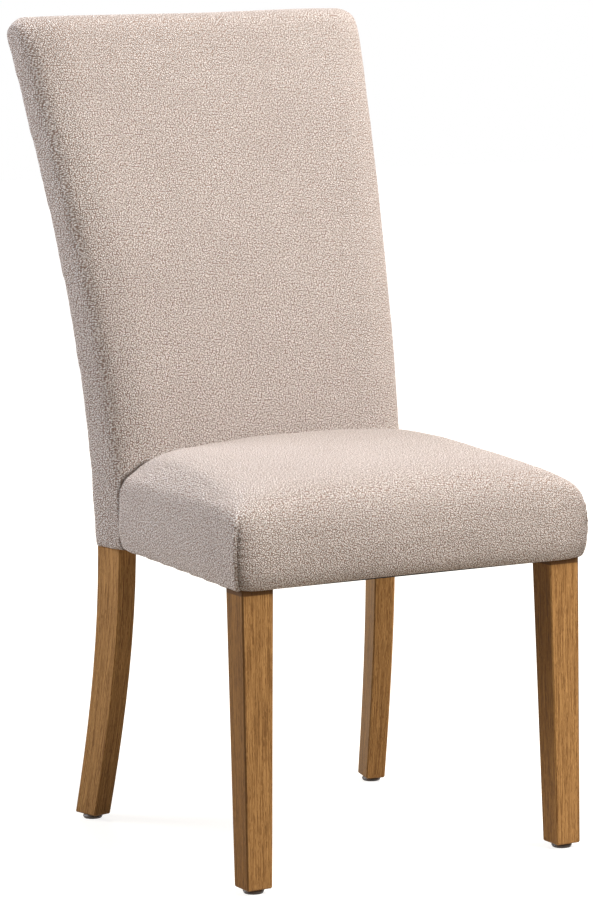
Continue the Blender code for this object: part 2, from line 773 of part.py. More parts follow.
def seat_upholstery(tools):
    layer = COVER + GAP
    foam_deep = layer + WADDING + GAP + FOAM_EASE
    cage = (SEAT_COLUMN_SHARES, SEAT_ROW_SHARES)
    foam_place = seat_place(foam_deep, DECK, PADDING_CORNER_SHARES)
    foam = pillow("seat_foam", *cage, 2, foam_place, FOAM, cap=True, sharp_ring=2)
    soften(foam, 0, 0)
    wadding_place = seat_place(layer, RAIL_BOTTOM + RAIL_LIFT, PADDING_CORNER_SHARES)
    wadding = pillow("seat_wadding", *cage, 3, wadding_place, FIBRE)
    soften(wadding, 0, WADDING)
    cover = pillow("seat_cover", *cage, 4, seat_place(0, 0, SEAT_CORNER_SHARES), FABRIC, sharp_ring=3)
    soften(cover, 0, COVER)
    for tool in tools:
        cut(wadding, tool)
        cut(cover, tool)


def back_upholstery(tools):
    cage = (BACK_COLUMN_SHARES, BACK_ROW_SHARES)
    wadding = pillow("back_wadding", *cage, 2, back_place, FIBRE, open_front=True)
    soften(wadding, COVER + GAP, WADDING)
    cover = pillow("back_cover", *cage, 5, back_place, FABRIC, open_front=True)
    soften(cover, 0, COVER)
    for tool in tools[:2]:
        cut(wadding, tool)
        cut(cover, tool)
    cut(wadding, wadding_trim())
    for tool in post_trims():
        cut(wadding, tool)
    back_foam()
    outside_panel()


def wadding_trim():
    """The wadding of the back ends above the rail's lower edge."""
    half = LEG_HALF + OVERRUN
    front, rear = 0, 2 * POST_FRONT
    outline = [(half, front), (half, rear), (-half, rear), (-half, front)]
    bottom, top = HEM_HEIGHT - OVERRUN, RAIL_BOTTOM + RAIL_LIFT
    return cutter(prism("wadding_trim", outline, bottom, top, None, CUTTERS))


def post_trims():
    """The wadding of the back ends in front of the posts."""
    tools = []
    levels = steps(HEM_HEIGHT - OVERRUN, WAIST, 2) + steps(WAIST, POST_TOP + GAP, 12)[1:]
    outer, inner, far = -OVERRUN, POST_THICKNESS, 2 * POST_DEPTH
    corners = ((outer, -GAP), (outer, far), (inner, far), (inner, -GAP))
    for side, sign in SIDES:
        sections = []
        for z in levels:
            points = [post_point(z, across, back) for across, back in corners]
            sections.append([(x, y, z) for x, y in mirrored(points, sign)])
        tools.append(cutter(loft(f"post_trim_{side}", sections, None, CUTTERS)))
    return tools


def back_foam():
    """A slab in front of the posts and straps, with rounded front corners."""
    deep = COVER + GAP + WADDING + GAP + FOAM_EASE
    behind = STRAP_THICKNESS + 4 * GAP
    sections = []
    top = BACK_HEIGHT - 2 * BACK_ROLL
    shoulder = top - BACK_CORNER
    for z in steps(DECK + GAP, shoulder, 10) + steps(shoulder, top, 4)[1:]:
        front_x, front_y = back_front(z)
        half = front_x - deep - drawn_in(z, top, BACK_CORNER, BACK_CORNER)
        front = front_y + deep + FOAM_EASE
        rear = post_point(z, 0, -behind)
        inner = post_point(z, post_thickness(z), -behind)
        arc = [
            (half - 2 * BACK_ROLL * (1 - math.sin(turn)), front + BACK_ROLL * (1 - math.cos(turn)))
            for turn in steps(0, math.pi / 2, 3)
        ]
        right = arc + [(min(rear[0], half), rear[1]), inner]
        sections.append([(x, y, z) for x, y in both_halves(right)])
    loft("back_foam", sections, FOAM)


def outside_panel():
    """The flat rear panel, pulled over the posts' rear faces from edge to edge."""
    bm = bmesh.new()
    rows = []
    for share in BACK_ROW_SHARES:
        z = mix(HEM_HEIGHT, BACK_HEIGHT - PANEL_INSET, share)
        half = back_edge(z)[0] - PANEL_INSET
        line = [(half * column, back_rear(z, half * column)) for column in PANEL_COLUMN_SHARES]
        rows.append([bm.verts.new((-x, y + PANEL_LIFT, z)) for x, y in line])
    for under, over in zip(rows, rows[1:]):
        for i in range(len(under) - 1):
            bm.faces.new((under[i], under[i + 1], over[i + 1], over[i]))
    panel = add("outside_back_panel", bm, FABRIC, closed=False)
    panel.data.shade_smooth()
    smooth = panel.modifiers.new("smooth", "SUBSURF")
    smooth.levels = smooth.render_levels = 1
    sheet = panel.modifiers.new("sheet", "SOLIDIFY")
    sheet.thickness = PANEL
    sheet.offset = 1.0


def dust_cover():
    """The thin cloth stapled under the seat, notched round the legs and posts."""
    front, notch = DUST_LAP, LEG_SIDE + 2 * GAP
    leg_x = LEG_HALF - LEG_SIDE - 2 * GAP
    turn = POST_FRONT - FRONT_PAD
    corner = post_point(HEM_HEIGHT, POST_THICKNESS, 0)
    inside = corner[0] - DUST_INSET
    rear = corner[1] + REAR_RAIL_SETBACK + DUST_LAP
    right = [
        (leg_x, front),
        (leg_x, notch),
        (rail_outer(notch) - DUST_INSET, notch),
        (rail_outer(turn) - DUST_INSET, turn),
        (inside, turn),
        (inside, rear),
    ]
    top = HEM_HEIGHT - GAP
    prism("dust_cover", both_halves(right), top - DUST_COVER, top, CAMBRIC)


clear_scene()
PARTS = collection("upholstered_dining_chair")
CUTTERS = collection("cutters")
ORIGIN = bpy.data.objects.new("chair_origin", None)
ORIGIN.location = (0, -CENTRE, 0)
PARTS.objects.link(ORIGIN)

OAK = material("oak_stain", (0.42, 0.25, 0.11), 0.45)
BEECH = material("bare_hardwood", (0.62, 0.47, 0.30), 0.6)
FABRIC = material("woven_chenille", (0.62, 0.52, 0.46), 0.95)
FOAM = material("foam", (0.86, 0.82, 0.62), 0.9)
FIBRE = material("polyester_wadding", (0.88, 0.88, 0.86), 0.95)
WEBBING = material("elastic_webbing", (0.12, 0.11, 0.10), 0.8)
CAMBRIC = material("dust_cloth", (0.02, 0.02, 0.02), 0.9)
NYLON = material("brown_nylon", (0.10, 0.06, 0.04), 0.5)
STEEL = material("zinc_steel", (0.60, 0.60, 0.58), 0.35, 1.0)

LEGS = front_legs()
POSTS = rear_posts()
RAILS = seat_rails()
back_rails(POSTS)
dowels(LEGS, POSTS, RAILS)
front_blocks(LEGS)
rear_blocks(RAILS)
glides(LEGS, POSTS)
seat_straps()
back_straps()
TOOLS = frame_cutters()
seat_upholstery(TOOLS)
back_upholstery(TOOLS)
dust_cover()
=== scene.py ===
import math
from functools import partial

import bmesh
import bpy
import numpy as np
from mathutils import Matrix, Vector, noise
from mathutils.bvhtree import BVHTree


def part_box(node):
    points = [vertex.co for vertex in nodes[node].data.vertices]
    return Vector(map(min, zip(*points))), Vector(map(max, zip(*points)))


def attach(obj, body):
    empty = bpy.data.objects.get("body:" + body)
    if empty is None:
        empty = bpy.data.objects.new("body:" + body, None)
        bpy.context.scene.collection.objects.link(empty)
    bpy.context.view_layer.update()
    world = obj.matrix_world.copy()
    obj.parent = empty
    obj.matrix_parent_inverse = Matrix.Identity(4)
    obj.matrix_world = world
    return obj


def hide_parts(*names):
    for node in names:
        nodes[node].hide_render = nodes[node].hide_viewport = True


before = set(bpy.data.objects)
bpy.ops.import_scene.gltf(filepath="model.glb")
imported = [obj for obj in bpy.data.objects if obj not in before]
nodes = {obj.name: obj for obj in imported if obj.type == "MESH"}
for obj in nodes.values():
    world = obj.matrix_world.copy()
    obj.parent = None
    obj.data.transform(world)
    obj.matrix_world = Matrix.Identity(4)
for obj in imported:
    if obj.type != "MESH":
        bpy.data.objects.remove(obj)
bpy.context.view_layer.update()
print("frame loaded:", len(nodes), "nodes")


# small helpers used by every piece

# only these pieces are selected, the first one active
def activate(*pieces):
    bpy.ops.object.select_all(action="DESELECT")
    for piece in pieces:
        piece.select_set(True)
    bpy.context.view_layer.objects.active = pieces[0] if pieces else None


def applyAll(piece):
    activate(piece)
    for modifier in list(piece.modifiers):
        bpy.ops.object.modifier_apply(modifier=modifier.name)


def points(piece):
    found = np.empty(len(piece.data.vertices) * 3)
    piece.data.vertices.foreach_get("co", found)
    return found.reshape(-1, 3)


def movePoints(piece, places):
    piece.data.vertices.foreach_set("co", np.ascontiguousarray(places, float).ravel())
    piece.data.update()


def normals(piece):
    found = np.empty(len(piece.data.vertices) * 3)
    piece.data.vertices.foreach_get("normal", found)
    return found.reshape(-1, 3)


def smoothStep(low, high, value):
    share = np.clip((value - low) / (high - low), 0.0, 1.0)
    return share * share * (3 - 2 * share)


def surfaceOf(piece):
    return BVHTree.FromObject(piece, bpy.context.evaluated_depsgraph_get())


# runs these steps in edit mode with the whole mesh selected
def editAll(piece, *steps):
    activate(piece)
    bpy.ops.object.mode_set(mode="EDIT")
    for step in steps:
        bpy.ops.mesh.select_all(action="SELECT")
        step()
    bpy.ops.object.mode_set(mode="OBJECT")


# a free copy of a solid, without the properties of its row
def copyOf(nodeName):
    copy = nodes[nodeName].copy()
    copy.data = nodes[nodeName].data.copy()
    copy.parent = None
    for key in list(copy.keys()):
        del copy[key]
    bpy.context.scene.collection.objects.link(copy)
    return copy


# the chair's lines, the same as the solids have

chairLines = {
    "centre": 0.3028855,
    "hem": 0.364,
    "backTop": 1.045,
    "legHalf": 0.235,
    "legSide": 0.042,
    "postHalf": 0.2039,
    "postFront": 0.3944,
    "splay": math.radians(13.1),
    "waist": 0.3916,
    "postDepth": 0.0465,
    "postFootDepth": 0.0414,
    "postTopDepth": 0.034,
    "footSweep": 0.0663,
    "topSweep": 0.184,
    "upSweep": (0.192, 1.136, 0.328),
    "downSweep": (1.315, 0.315),
    "railInset": (0.0024, 0.0079),
    "backTouch": (-0.010, -0.0301),  # where the seat meets the back, on postPoint's lines
    "wallTall": 0.114,
    "wallBulge": 0.0085,
}


def sweepAt(z):
    lines = chairLines
    up = (z - lines["waist"]) / (lines["backTop"] - lines["waist"])
    down = (lines["waist"] - z) / lines["waist"]
    if z > lines["waist"]:
        first, second, third = lines["upSweep"]
        return lines["topSweep"] * (first * up + second * up ** 2 - third * up ** 3)
    second, third = lines["downSweep"]
    return lines["footSweep"] * (second * down ** 2 - third * down ** 3)


# a point on the right post: across runs inwards from its outer face, back runs along it
def postPoint(z, across, back):
    lines = chairLines
    out = sweepAt(z) + back
    sine, cosine = math.sin(lines["splay"]), math.cos(lines["splay"])
    x = lines["postHalf"] + out * sine - across * cosine
    y = lines["postFront"] + out * cosine + across * sine - lines["centre"]
    return x, y


def postDepthAt(z):
    lines = chairLines
    if z > lines["waist"]:
        share = (z - lines["waist"]) / (lines["backTop"] - lines["waist"])
        return lines["postDepth"] + (lines["postTopDepth"] - lines["postDepth"]) * share
    share = (lines["waist"] - z) / lines["waist"]
    return lines["postDepth"] + (lines["postFootDepth"] - lines["postDepth"]) * share


# the outer face of the right side rail at this Y of the frame
def railOuter(y):
    lines = chairLines
    share = (y + lines["centre"] - lines["legSide"]) / (lines["postFront"] - lines["legSide"])
    frontInset, rearInset = lines["railInset"]
    front, rear = lines["legHalf"] - frontInset, lines["postHalf"] - rearInset
    return front + (rear - front) * share


# materials

def newMaterial(name):
    made = bpy.data.materials.new(name)
    made.use_nodes = True
    tree = made.node_tree
    shader = tree.nodes["Principled BSDF"]
    return made, tree, shader


def addNode(tree, kind, values=None, **settings):
    made = tree.nodes.new(kind)
    for key, value in settings.items():
        setattr(made, key, value)
    for key, value in (values or {}).items():
        made.inputs[key].default_value = value
    return made


def setShader(shader, values):
    for name, value in values.items():
        shader.inputs[name].default_value = value


def scaledBy(tree, vector, scale):
    mapping = addNode(tree, "ShaderNodeMapping", {"Scale": scale})
    tree.links.new(vector, mapping.inputs["Vector"])
    return mapping.outputs["Vector"]


def objectCoords(tree, scale=(1, 1, 1)):
    return scaledBy(tree, addNode(tree, "ShaderNodeTexCoord").outputs["Object"], scale)


def splitUp(tree, vector):
    parts = addNode(tree, "ShaderNodeSeparateXYZ")
    tree.links.new(vector, parts.inputs[0])
    return [parts.outputs[axis] for axis in "XYZ"]


# the three parts of the direction that a face looks in
def facingParts(tree):
    return splitUp(tree, addNode(tree, "ShaderNodeNewGeometry").outputs["Normal"])


def noiseAt(tree, vector, scale, detail=2.0, rough=0.5, distortion=0.0):
    made = addNode(
        tree,
        "ShaderNodeTexNoise",
        {"Scale": scale, "Detail": detail, "Roughness": rough, "Distortion": distortion},
    )
    tree.links.new(vector, made.inputs["Vector"])
    return made.outputs["Fac"]


def mathOf(tree, operation, first, second=0.0, third=None, clamp=False):
    made = addNode(tree, "ShaderNodeMath", operation=operation, use_clamp=clamp)
    for place, value in enumerate((first, second, third)):
        if value is None:
            continue
        if isinstance(value, (int, float)):
            made.inputs[place].default_value = value
        else:
            tree.links.new(value, made.inputs[place])
    return made.outputs[0]


def rampOf(tree, value, stops):
    made = addNode(tree, "ShaderNodeValToRGB")
    ramp = made.color_ramp
    while len(ramp.elements) < len(stops):
        ramp.elements.new(0.5)
    for element, (place, color) in zip(ramp.elements, stops):
        element.position = place
        element.color = (*color, 1.0)
    tree.links.new(value, made.inputs["Fac"])
    return made.outputs["Color"]


def mixColors(tree, share, first, second, blend="MIX"):
    made = addNode(tree, "ShaderNodeMix", data_type="RGBA", blend_type=blend)
    for name, value in (("Factor", share), ("A", first), ("B", second)):
        socket = [s for s in made.inputs if s.name == name and s.enabled][0]
        if isinstance(value, (int, float)):
            socket.default_value = value
        elif isinstance(value, tuple):
            socket.default_value = (*value, 1.0)
        else:
            tree.links.new(value, socket)
    return [s for s in made.outputs if s.enabled][0]


# adds to a vector the colour of a noise, times the size, so that it wanders
def wanderFrom(tree, vector, noiseColor, size):
    moved = addNode(tree, "ShaderNodeVectorMath", operation="MULTIPLY_ADD")
    tree.links.new(noiseColor, moved.inputs[0])
    moved.inputs[1].default_value = size
    tree.links.new(vector, moved.inputs[2])
    return moved.outputs["Vector"]


def bumpFrom(tree, shader, height, strength, distance):
    bump = addNode(tree, "ShaderNodeBump", {"Strength": strength, "Distance": distance})
    tree.links.new(height, bump.inputs["Height"])
    tree.links.new(bump.outputs["Normal"], shader.inputs["Normal"])


# the cloth's own flat coordinates, turned with the side that a face looks to
def clothCoords(tree, weft):
    x, y, z = splitUp(tree, objectCoords(tree))
    sideRun, topRun = (mathOf(tree, "MULTIPLY", y, run) for run in weft)
    turned = [mathOf(tree, "ABSOLUTE", part) for part in facingParts(tree)]
    most = mathOf(tree, "MAXIMUM", turned[1], turned[2])
    sideways = mathOf(tree, "GREATER_THAN", turned[0], most)
    most = mathOf(tree, "MAXIMUM", turned[0], turned[1])
    upwards = mathOf(tree, "GREATER_THAN", turned[2], most)
    across = mathOf(tree, "MULTIPLY_ADD", sideways, mathOf(tree, "SUBTRACT", sideRun, x), x)
    along = mathOf(tree, "MULTIPLY_ADD", upwards, mathOf(tree, "SUBTRACT", topRun, z), z)
    flat = addNode(tree, "ShaderNodeCombineXYZ")
    tree.links.new(across, flat.inputs[0])
    tree.links.new(along, flat.inputs[1])
    return flat.outputs[0]


chenilleLook = {
    "weft": (0.55, 0.8),
    "nub": 520.0,
    "loose": 0.7,
    "hump": (-1.9, 1.0),
    "curl": (760.0, 1.4),
    "twist": (420.0, 0.0005),
    "stops": (0.02, 0.25, 0.52, 0.85),
    "yarn": ((0.31, 0.225, 0.185), (0.66, 0.545, 0.485), (0.94, 0.85, 0.80), (1.0, 0.98, 0.96)),
    "clouds": (7.0, 3.0, 0.55),
    "cloudStops": ((0.3, (0.94, 0.93, 0.93)), (0.7, (1.0, 1.0, 1.0))),
    "mottle": (220.0, 0.2),
    "mottleGrain": (2.0, 0.7),
    # the colour of the painted shade in creases, seams and where parts touch
    "crease": (0.10, 0.07, 0.055),
    "relief": (1.0, 0.0015),
    "shader": {
        "Roughness": 0.96,
        "Specular IOR Level": 0.12,
        "Sheen Weight": 0.32,
        "Sheen Roughness": 0.42,
        "Sheen Tint": (1.0, 0.92, 0.88, 1.0),
    },
}


# nubby woven chenille: short curled loops of pale yarn over a darker ground
def chenilleMaterial(name):
    look = chenilleLook
    made, tree, shader = newMaterial(name)
    vector = objectCoords(tree)
    flat = clothCoords(tree, look["weft"])
    scale, size = look["twist"]
    wander = addNode(
        tree, "ShaderNodeTexNoise", {"Scale": scale, "Detail": 0.0}, noise_dimensions="2D"
    )
    tree.links.new(flat, wander.inputs["Vector"])
    twisted = wanderFrom(tree, flat, wander.outputs["Color"], (size, size, size))
    nubs = addNode(
        tree,
        "ShaderNodeTexVoronoi",
        {"Scale": look["nub"], "Randomness": look["loose"]},
        voronoi_dimensions="2D",
    )
    tree.links.new(twisted, nubs.inputs["Vector"])
    nub = mathOf(tree, "MULTIPLY_ADD", nubs.outputs["Distance"], *look["hump"])
    scale, weight = look["curl"]
    curls = addNode(
        tree, "ShaderNodeTexNoise", {"Scale": scale, "Detail": 1.0}, noise_dimensions="2D"
    )
    tree.links.new(twisted, curls.inputs["Vector"])
    curl = mathOf(tree, "MULTIPLY_ADD", curls.outputs["Fac"], weight, -0.5 * weight)
    height = mathOf(tree, "ADD", nub, curl, clamp=True)
    color = rampOf(tree, height, tuple(zip(look["stops"], look["yarn"])))
    clouds = rampOf(tree, noiseAt(tree, vector, *look["clouds"]), look["cloudStops"])
    color = mixColors(tree, 1.0, color, clouds, "MULTIPLY")
    scale, weight = look["mottle"]
    mottle = noiseAt(tree, vector, scale, *look["mottleGrain"])
    mottle = mathOf(tree, "MULTIPLY_ADD", mottle, weight, 1.0 - 0.5 * weight)
    color = mixColors(tree, 1.0, color, mottle, "MULTIPLY")
    # painted shade from the creaseShade attribute darkens the yarn
    shade = addNode(tree, "ShaderNodeAttribute", attribute_name="creaseShade")
    color = mixColors(tree, shade.outputs["Fac"], color, look["crease"])
    tree.links.new(color, shader.inputs["Base Color"])
    setShader(shader, look["shader"])
    bumpFrom(tree, shader, height, *look["relief"])
    return made


# coordinates that lean with the rear leg, so that its grain runs along the sweep
def sweptCoords(tree):
    lines = chairLines
    x, y, z = splitUp(tree, objectCoords(tree))
    sine, cosine = math.sin(lines["splay"]), math.cos(lines["splay"])
    second, third = (part * lines["footSweep"] for part in lines["downSweep"])
    down = mathOf(tree, "MULTIPLY_ADD", z, -1.0 / lines["waist"], 1.0, clamp=True)
    curve = mathOf(tree, "MULTIPLY_ADD", down, -third, second)
    sweep = mathOf(tree, "MULTIPLY", mathOf(tree, "MULTIPLY", down, down), curve)
    side = mathOf(tree, "MULTIPLY_ADD", sweep, -sine, mathOf(tree, "ABSOLUTE", x))
    straight = addNode(tree, "ShaderNodeCombineXYZ")
    tree.links.new(side, straight.inputs[0])
    tree.links.new(mathOf(tree, "MULTIPLY_ADD", sweep, -cosine, y), straight.inputs[1])
    tree.links.new(z, straight.inputs[2])
    return straight.outputs[0]


oakLook = {
    "stops": (
        (0.43, (0.20, 0.093, 0.030)),
        (0.54, (0.355, 0.180, 0.061)),
        (0.66, (0.50, 0.268, 0.098)),
    ),
    "pore": (0.125, 0.055, 0.019),
    "wiggle": (260.0, 0.0016, 0.45),
    "bands": (0.04, 70.0, 3.0, 0.6, 0.5),
    "fibres": (0.014, 900.0, 2.0, 0.75, 0.4),
    "pores": (0.05, 900.0, 1.0, 0.5),
    "shares": (0.90, 0.20),
    "poreLine": (14.0, -8.3),
    # from here: the colour and run of the darker stain on the outer arris, which also serves the
    # painted shadow under the cloth, where that painted shadow lies, the strength of both, the
    # painted shade on a front leg's side faces and on a rear post's inner face, and how the legs
    # lighten towards +X
    "arris": (0.075, 0.034, 0.013),
    "arrisLine": (-450.0, 1.25),
    "underShadowLine": (833.0, -298.9),
    "stainAndShade": 0.86,
    "sideShade": (0.66, 0.61, 0.52),
    "inner": 0.66,
    "tone": 0.28,
    "shine": ((0.3, (0.50,) * 3), (0.7, (0.64,) * 3)),
    "specular": 0.09,
    "relief": (0.35, 0.0006),
}


# a noise drawn out along the grain
def alongGrain(tree, grain, run, *settings):
    return noiseAt(tree, scaledBy(tree, grain, (1, 1, run)), *settings)


# the stain lies thicker on a front leg's outer arris, the shadow under the cloth is painted on, its
# side faces carry painted shade, and it grows lighter towards +X
def frontLegToneAndShade(tree, color):
    look = oakLook
    x, y, z = splitUp(tree, objectCoords(tree))
    fromSide = mathOf(tree, "SUBTRACT", chairLines["legHalf"], mathOf(tree, "ABSOLUTE", x))
    fromArris = mathOf(tree, "MAXIMUM", fromSide, mathOf(tree, "ADD", y, chairLines["centre"]))
    arris = mathOf(tree, "MULTIPLY_ADD", fromArris, *look["arrisLine"], clamp=True)
    # painted shadow under the cloth's hem, at the top of the leg
    under = mathOf(tree, "MULTIPLY_ADD", z, *look["underShadowLine"], clamp=True)
    darker = mathOf(tree, "MULTIPLY", mathOf(tree, "MAXIMUM", arris, under), look["stainAndShade"])
    # painted shade on the side faces
    turned = mathOf(tree, "ABSOLUTE", facingParts(tree)[0])
    sideways = mathOf(tree, "GREATER_THAN", turned, 0.8)
    sideShaded = mixColors(tree, 1.0, color, look["sideShade"], "MULTIPLY")
    color = mixColors(tree, sideways, color, sideShaded)
    tone = mathOf(tree, "MULTIPLY_ADD", x, look["tone"], 1.0)
    color = mixColors(tree, 1.0, color, tone, "MULTIPLY")
    return mixColors(tree, darker, color, look["arris"])


# painted shade on the inner face of a rear post, where the seat keeps the light off
def rearPostInnerShade(tree, color):
    x = splitUp(tree, objectCoords(tree))[0]
    inner = mathOf(tree, "LESS_THAN", mathOf(tree, "MULTIPLY", facingParts(tree)[0], x), -0.1)
    dark = mixColors(tree, 1.0, color, (oakLook["inner"],) * 3, "MULTIPLY")
    return mixColors(tree, inner, color, dark)


# stained oak with its grain running up the leg, fine dark pores and slow bands, with the tone and
# painted shade of its leg on top
def oakMaterial(name, grainCoords, toneAndShadeOf):
    look = oakLook
    made, tree, shader = newMaterial(name)
    grain = grainCoords(tree)
    scale, size, run = look["wiggle"]
    wander = addNode(tree, "ShaderNodeTexNoise", {"Scale": scale, "Detail": 1.0})
    tree.links.new(scaledBy(tree, grain, (1, 1, run)), wander.inputs["Vector"])
    grain = wanderFrom(tree, grain, wander.outputs["Color"], (size, size, 0.0))
    bands, fibres, poreField = (
        alongGrain(tree, grain, *look[part]) for part in ("bands", "fibres", "pores")
    )
    fibreShare, bandShare = look["shares"]
    slow = mathOf(tree, "MULTIPLY", bands, bandShare)
    blend = mathOf(tree, "MULTIPLY_ADD", fibres, fibreShare, slow)
    color = rampOf(tree, blend, look["stops"])
    pores = mathOf(tree, "MULTIPLY_ADD", poreField, *look["poreLine"], clamp=True)
    pores = mathOf(tree, "MULTIPLY", pores, 0.5)
    color = toneAndShadeOf(tree, mixColors(tree, pores, color, look["pore"]))
    tree.links.new(color, shader.inputs["Base Color"])
    tree.links.new(rampOf(tree, fibres, look["shine"]), shader.inputs["Roughness"])
    shader.inputs["Specular IOR Level"].default_value = look["specular"]
    height = mathOf(tree, "SUBTRACT", blend, mathOf(tree, "MULTIPLY", pores, 0.5))
    bumpFrom(tree, shader, height, *look["relief"])
    return made


# the plain finishes: how their noise is stretched, its scale, detail and roughness, the colours at
# their places on the ramp, the roughness at those places, and the relief
plainLooks = {
    "bareBeech": {  # the hidden frame, its grain along the rail
        "stretch": (0.05, 1, 1),
        "noise": (240.0, 3.0, 0.6),
        "stops": ((0.35, (0.50, 0.36, 0.21)), (0.65, (0.66, 0.52, 0.35))),
        "rough": (0.7, 0.7),
        "relief": (0.4, 0.0005),
    },
    "blackWebbing": {  # elastic webbing with a fine rib
        "stretch": (1, 0.2, 1),
        "noise": (900.0, 1.0, 0.5),
        "stops": ((0.4, (0.02, 0.02, 0.02)), (0.6, (0.10, 0.095, 0.09))),
        "rough": (0.85, 0.85),
        "relief": (0.5, 0.0006),
    },
    "brownNylon": {  # moulded glides, scuffed where they slide
        "stretch": (1, 1, 1),
        "noise": (420.0, 3.0, 0.6),
        "stops": ((0.35, (0.045, 0.028, 0.018)), (0.7, (0.10, 0.066, 0.044))),
        "rough": (0.38, 0.6),
        "relief": (0.2, 0.0003),
    },
    "zincSteel": {  # plated bolts, washers, screws and nails
        "stretch": (1, 1, 1),
        "noise": (800.0, 2.0, 0.5),
        "stops": ((0.3, (0.50, 0.50, 0.48)), (0.7, (0.68, 0.67, 0.64))),
        "rough": (0.28, 0.42),
        "relief": (0.15, 0.0002),
        "metal": 1.0,
    },
}


def plainMaterial(name):
    look = plainLooks[name]
    made, tree, shader = newMaterial(name)
    field = noiseAt(tree, objectCoords(tree, look["stretch"]), *look["noise"])
    tree.links.new(rampOf(tree, field, look["stops"]), shader.inputs["Base Color"])
    stops = tuple((stop[0], (rough,) * 3) for stop, rough in zip(look["stops"], look["rough"]))
    tree.links.new(rampOf(tree, field, stops), shader.inputs["Roughness"])
    shader.inputs["Metallic"].default_value = look.get("metal", 0.0)
    bumpFrom(tree, shader, field, *look["relief"])
    return made


dustClothLook = {
    "dots": {"Scale": 620.0, "Randomness": 0.15},
    "fibres": (900.0, 2.0, 0.6),
    "stops": ((0.3, (0.012, 0.012, 0.013)), (0.9, (0.05, 0.05, 0.052))),
    "rough": 0.9,
    "relief": (0.5, 0.0005),
}


# black spun cloth pressed with a grid of fine dots
def dustClothMaterial(name):
    look = dustClothLook
    made, tree, shader = newMaterial(name)
    dots = addNode(tree, "ShaderNodeTexVoronoi", look["dots"])
    tree.links.new(objectCoords(tree), dots.inputs["Vector"])
    fibres = mathOf(tree, "MULTIPLY", noiseAt(tree, objectCoords(tree), *look["fibres"]), 0.5)
    height = mathOf(tree, "ADD", dots.outputs["Distance"], fibres)
    tree.links.new(rampOf(tree, height, look["stops"]), shader.inputs["Base Color"])
    shader.inputs["Roughness"].default_value = look["rough"]
    bumpFrom(tree, shader, height, *look["relief"])
    return made


chenille = chenilleMaterial("greigeChenille")
stainedOak = oakMaterial("stainedOak", sweptCoords, rearPostInnerShade)
legOak = oakMaterial("legOak", objectCoords, frontLegToneAndShade)
bareBeech, blackWebbing, brownNylon, zincSteel = (plainMaterial(name) for name in plainLooks)
blackDustCloth = dustClothMaterial("blackDustCloth")


def finishNode(name, finish):
    piece = nodes[name]
    for slot in piece.material_slots:
        slot.material = finish
    if not piece.material_slots:
        piece.data.materials.append(finish)


for name in nodes:
    if "strap" in name:
        finishNode(name, blackWebbing)
    elif name == "dust_cover":
        finishNode(name, blackDustCloth)
    elif name.startswith("front_leg"):
        finishNode(name, legOak)
    elif name.startswith("rear_post"):
        finishNode(name, stainedOak)
    elif name.startswith(("glide_nail", "block_screw", "lag_")):
        finishNode(name, zincSteel)
    elif name.startswith("glide"):
        finishNode(name, brownNylon)
    elif "rail" in name or "corner_block" in name or "dowel" in name:
        finishNode(name, bareBeech)
    else:
        finishNode(name, chenille)
print("materials on the frame")


# padded pieces

paddingLook = {
    "start": 0.004,
    "cap": 0.0045,
    "pressure": 4.0,
    "frames": 20,
    "give": 0.0010,
    "firm": 0.004,
    "quality": 5,
    "mass": 0.3,
    "stretch": 15.0,
    "bend": 0.5,
    "free": (0.366, 0.374),
    "rounds": 2,
}


# a block pushed up through these levels, each with its own outline of the same corners
def solidBlock(name, levels, cornersAt):
    bm = bmesh.new()
    face = bm.faces.new([bm.verts.new((x, y, levels[0])) for x, y in cornersAt(levels[0])])
    first = face
    for z in levels[1:]:
        pushed = bmesh.ops.extrude_face_region(bm, geom=[face])["geom"]
        if face != first:
            bm.faces.remove(face)
        face = next(item for item in pushed if isinstance(item, bmesh.types.BMFace))
        for vert, (x, y) in zip(face.verts, cornersAt(z)):
            vert.co = (x, y, z)
    bmesh.ops.recalc_face_normals(bm, faces=bm.faces)
    mesh = bpy.data.meshes.new(name)
    bm.to_mesh(mesh)
    bm.free()
    block = bpy.data.objects.new(name, mesh)
    bpy.context.scene.collection.objects.link(block)
    return block


def bothHalves(right):
    return right + [(-x, y) for x, y in reversed(right)]


def spread(low, high, count):
    return [low + (high - low) * i / count for i in range(count + 1)]


# how far a rounded top corner has come inwards at this height
def drawnIn(z, top, tall, wide):
    share = max(0.0, z - top + tall) / tall
    return wide * (1 - math.sqrt(max(0.0, 1 - share * share)))


def seatFill(z):
    lines, look = chairLines, seatLook
    share = min(1.0, max(0.0, (z - lines["hem"]) / lines["wallTall"]))
    bulge = lines["wallBulge"] * math.sin(math.pi * share ** 0.9)
    wall, fullness, inside = look["fillWall"]
    shoulder, slope = look["fillShoulder"]
    out = wall + fullness * bulge - inside - max(0.0, z - shoulder) * slope
    frontGap, corner, rearGap = look["fillGaps"]
    front = -lines["centre"] - out - frontGap
    rear = postPoint(z, *lines["backTouch"])[1] - rearGap
    return bothHalves([
        (railOuter(front) + out - corner, front),
        (railOuter(front) + out, front + corner),
        (railOuter(rear) + out, rear),
    ])


def backFill(z):
    look, depth = backLook, postDepthAt(z)
    rear = tuple((across, depth + back) for across, back in look["fillRear"])
    trim = drawnIn(z, look["levels"][2], look["topCorner"], look["topCorner"])
    right = [postPoint(z, across, back) for across, back in look["fillFront"] + rear]
    return bothHalves([(x - trim, y) for x, y in right])


def joinedCopy(name, nodeNames, fill):
    activate(fill, *[copyOf(nodeName) for nodeName in nodeNames])
    bpy.ops.object.join()
    fill.name = name
    return fill


def remeshed(piece, voxel):
    remesh = piece.modifiers.new("remesh", "REMESH")
    remesh.mode = "VOXEL"
    remesh.voxel_size = voxel
    remesh.use_smooth_shade = True
    applyAll(piece)
    keepBiggest(piece)
    print(piece.name, "remeshed:", len(piece.data.vertices), "points")


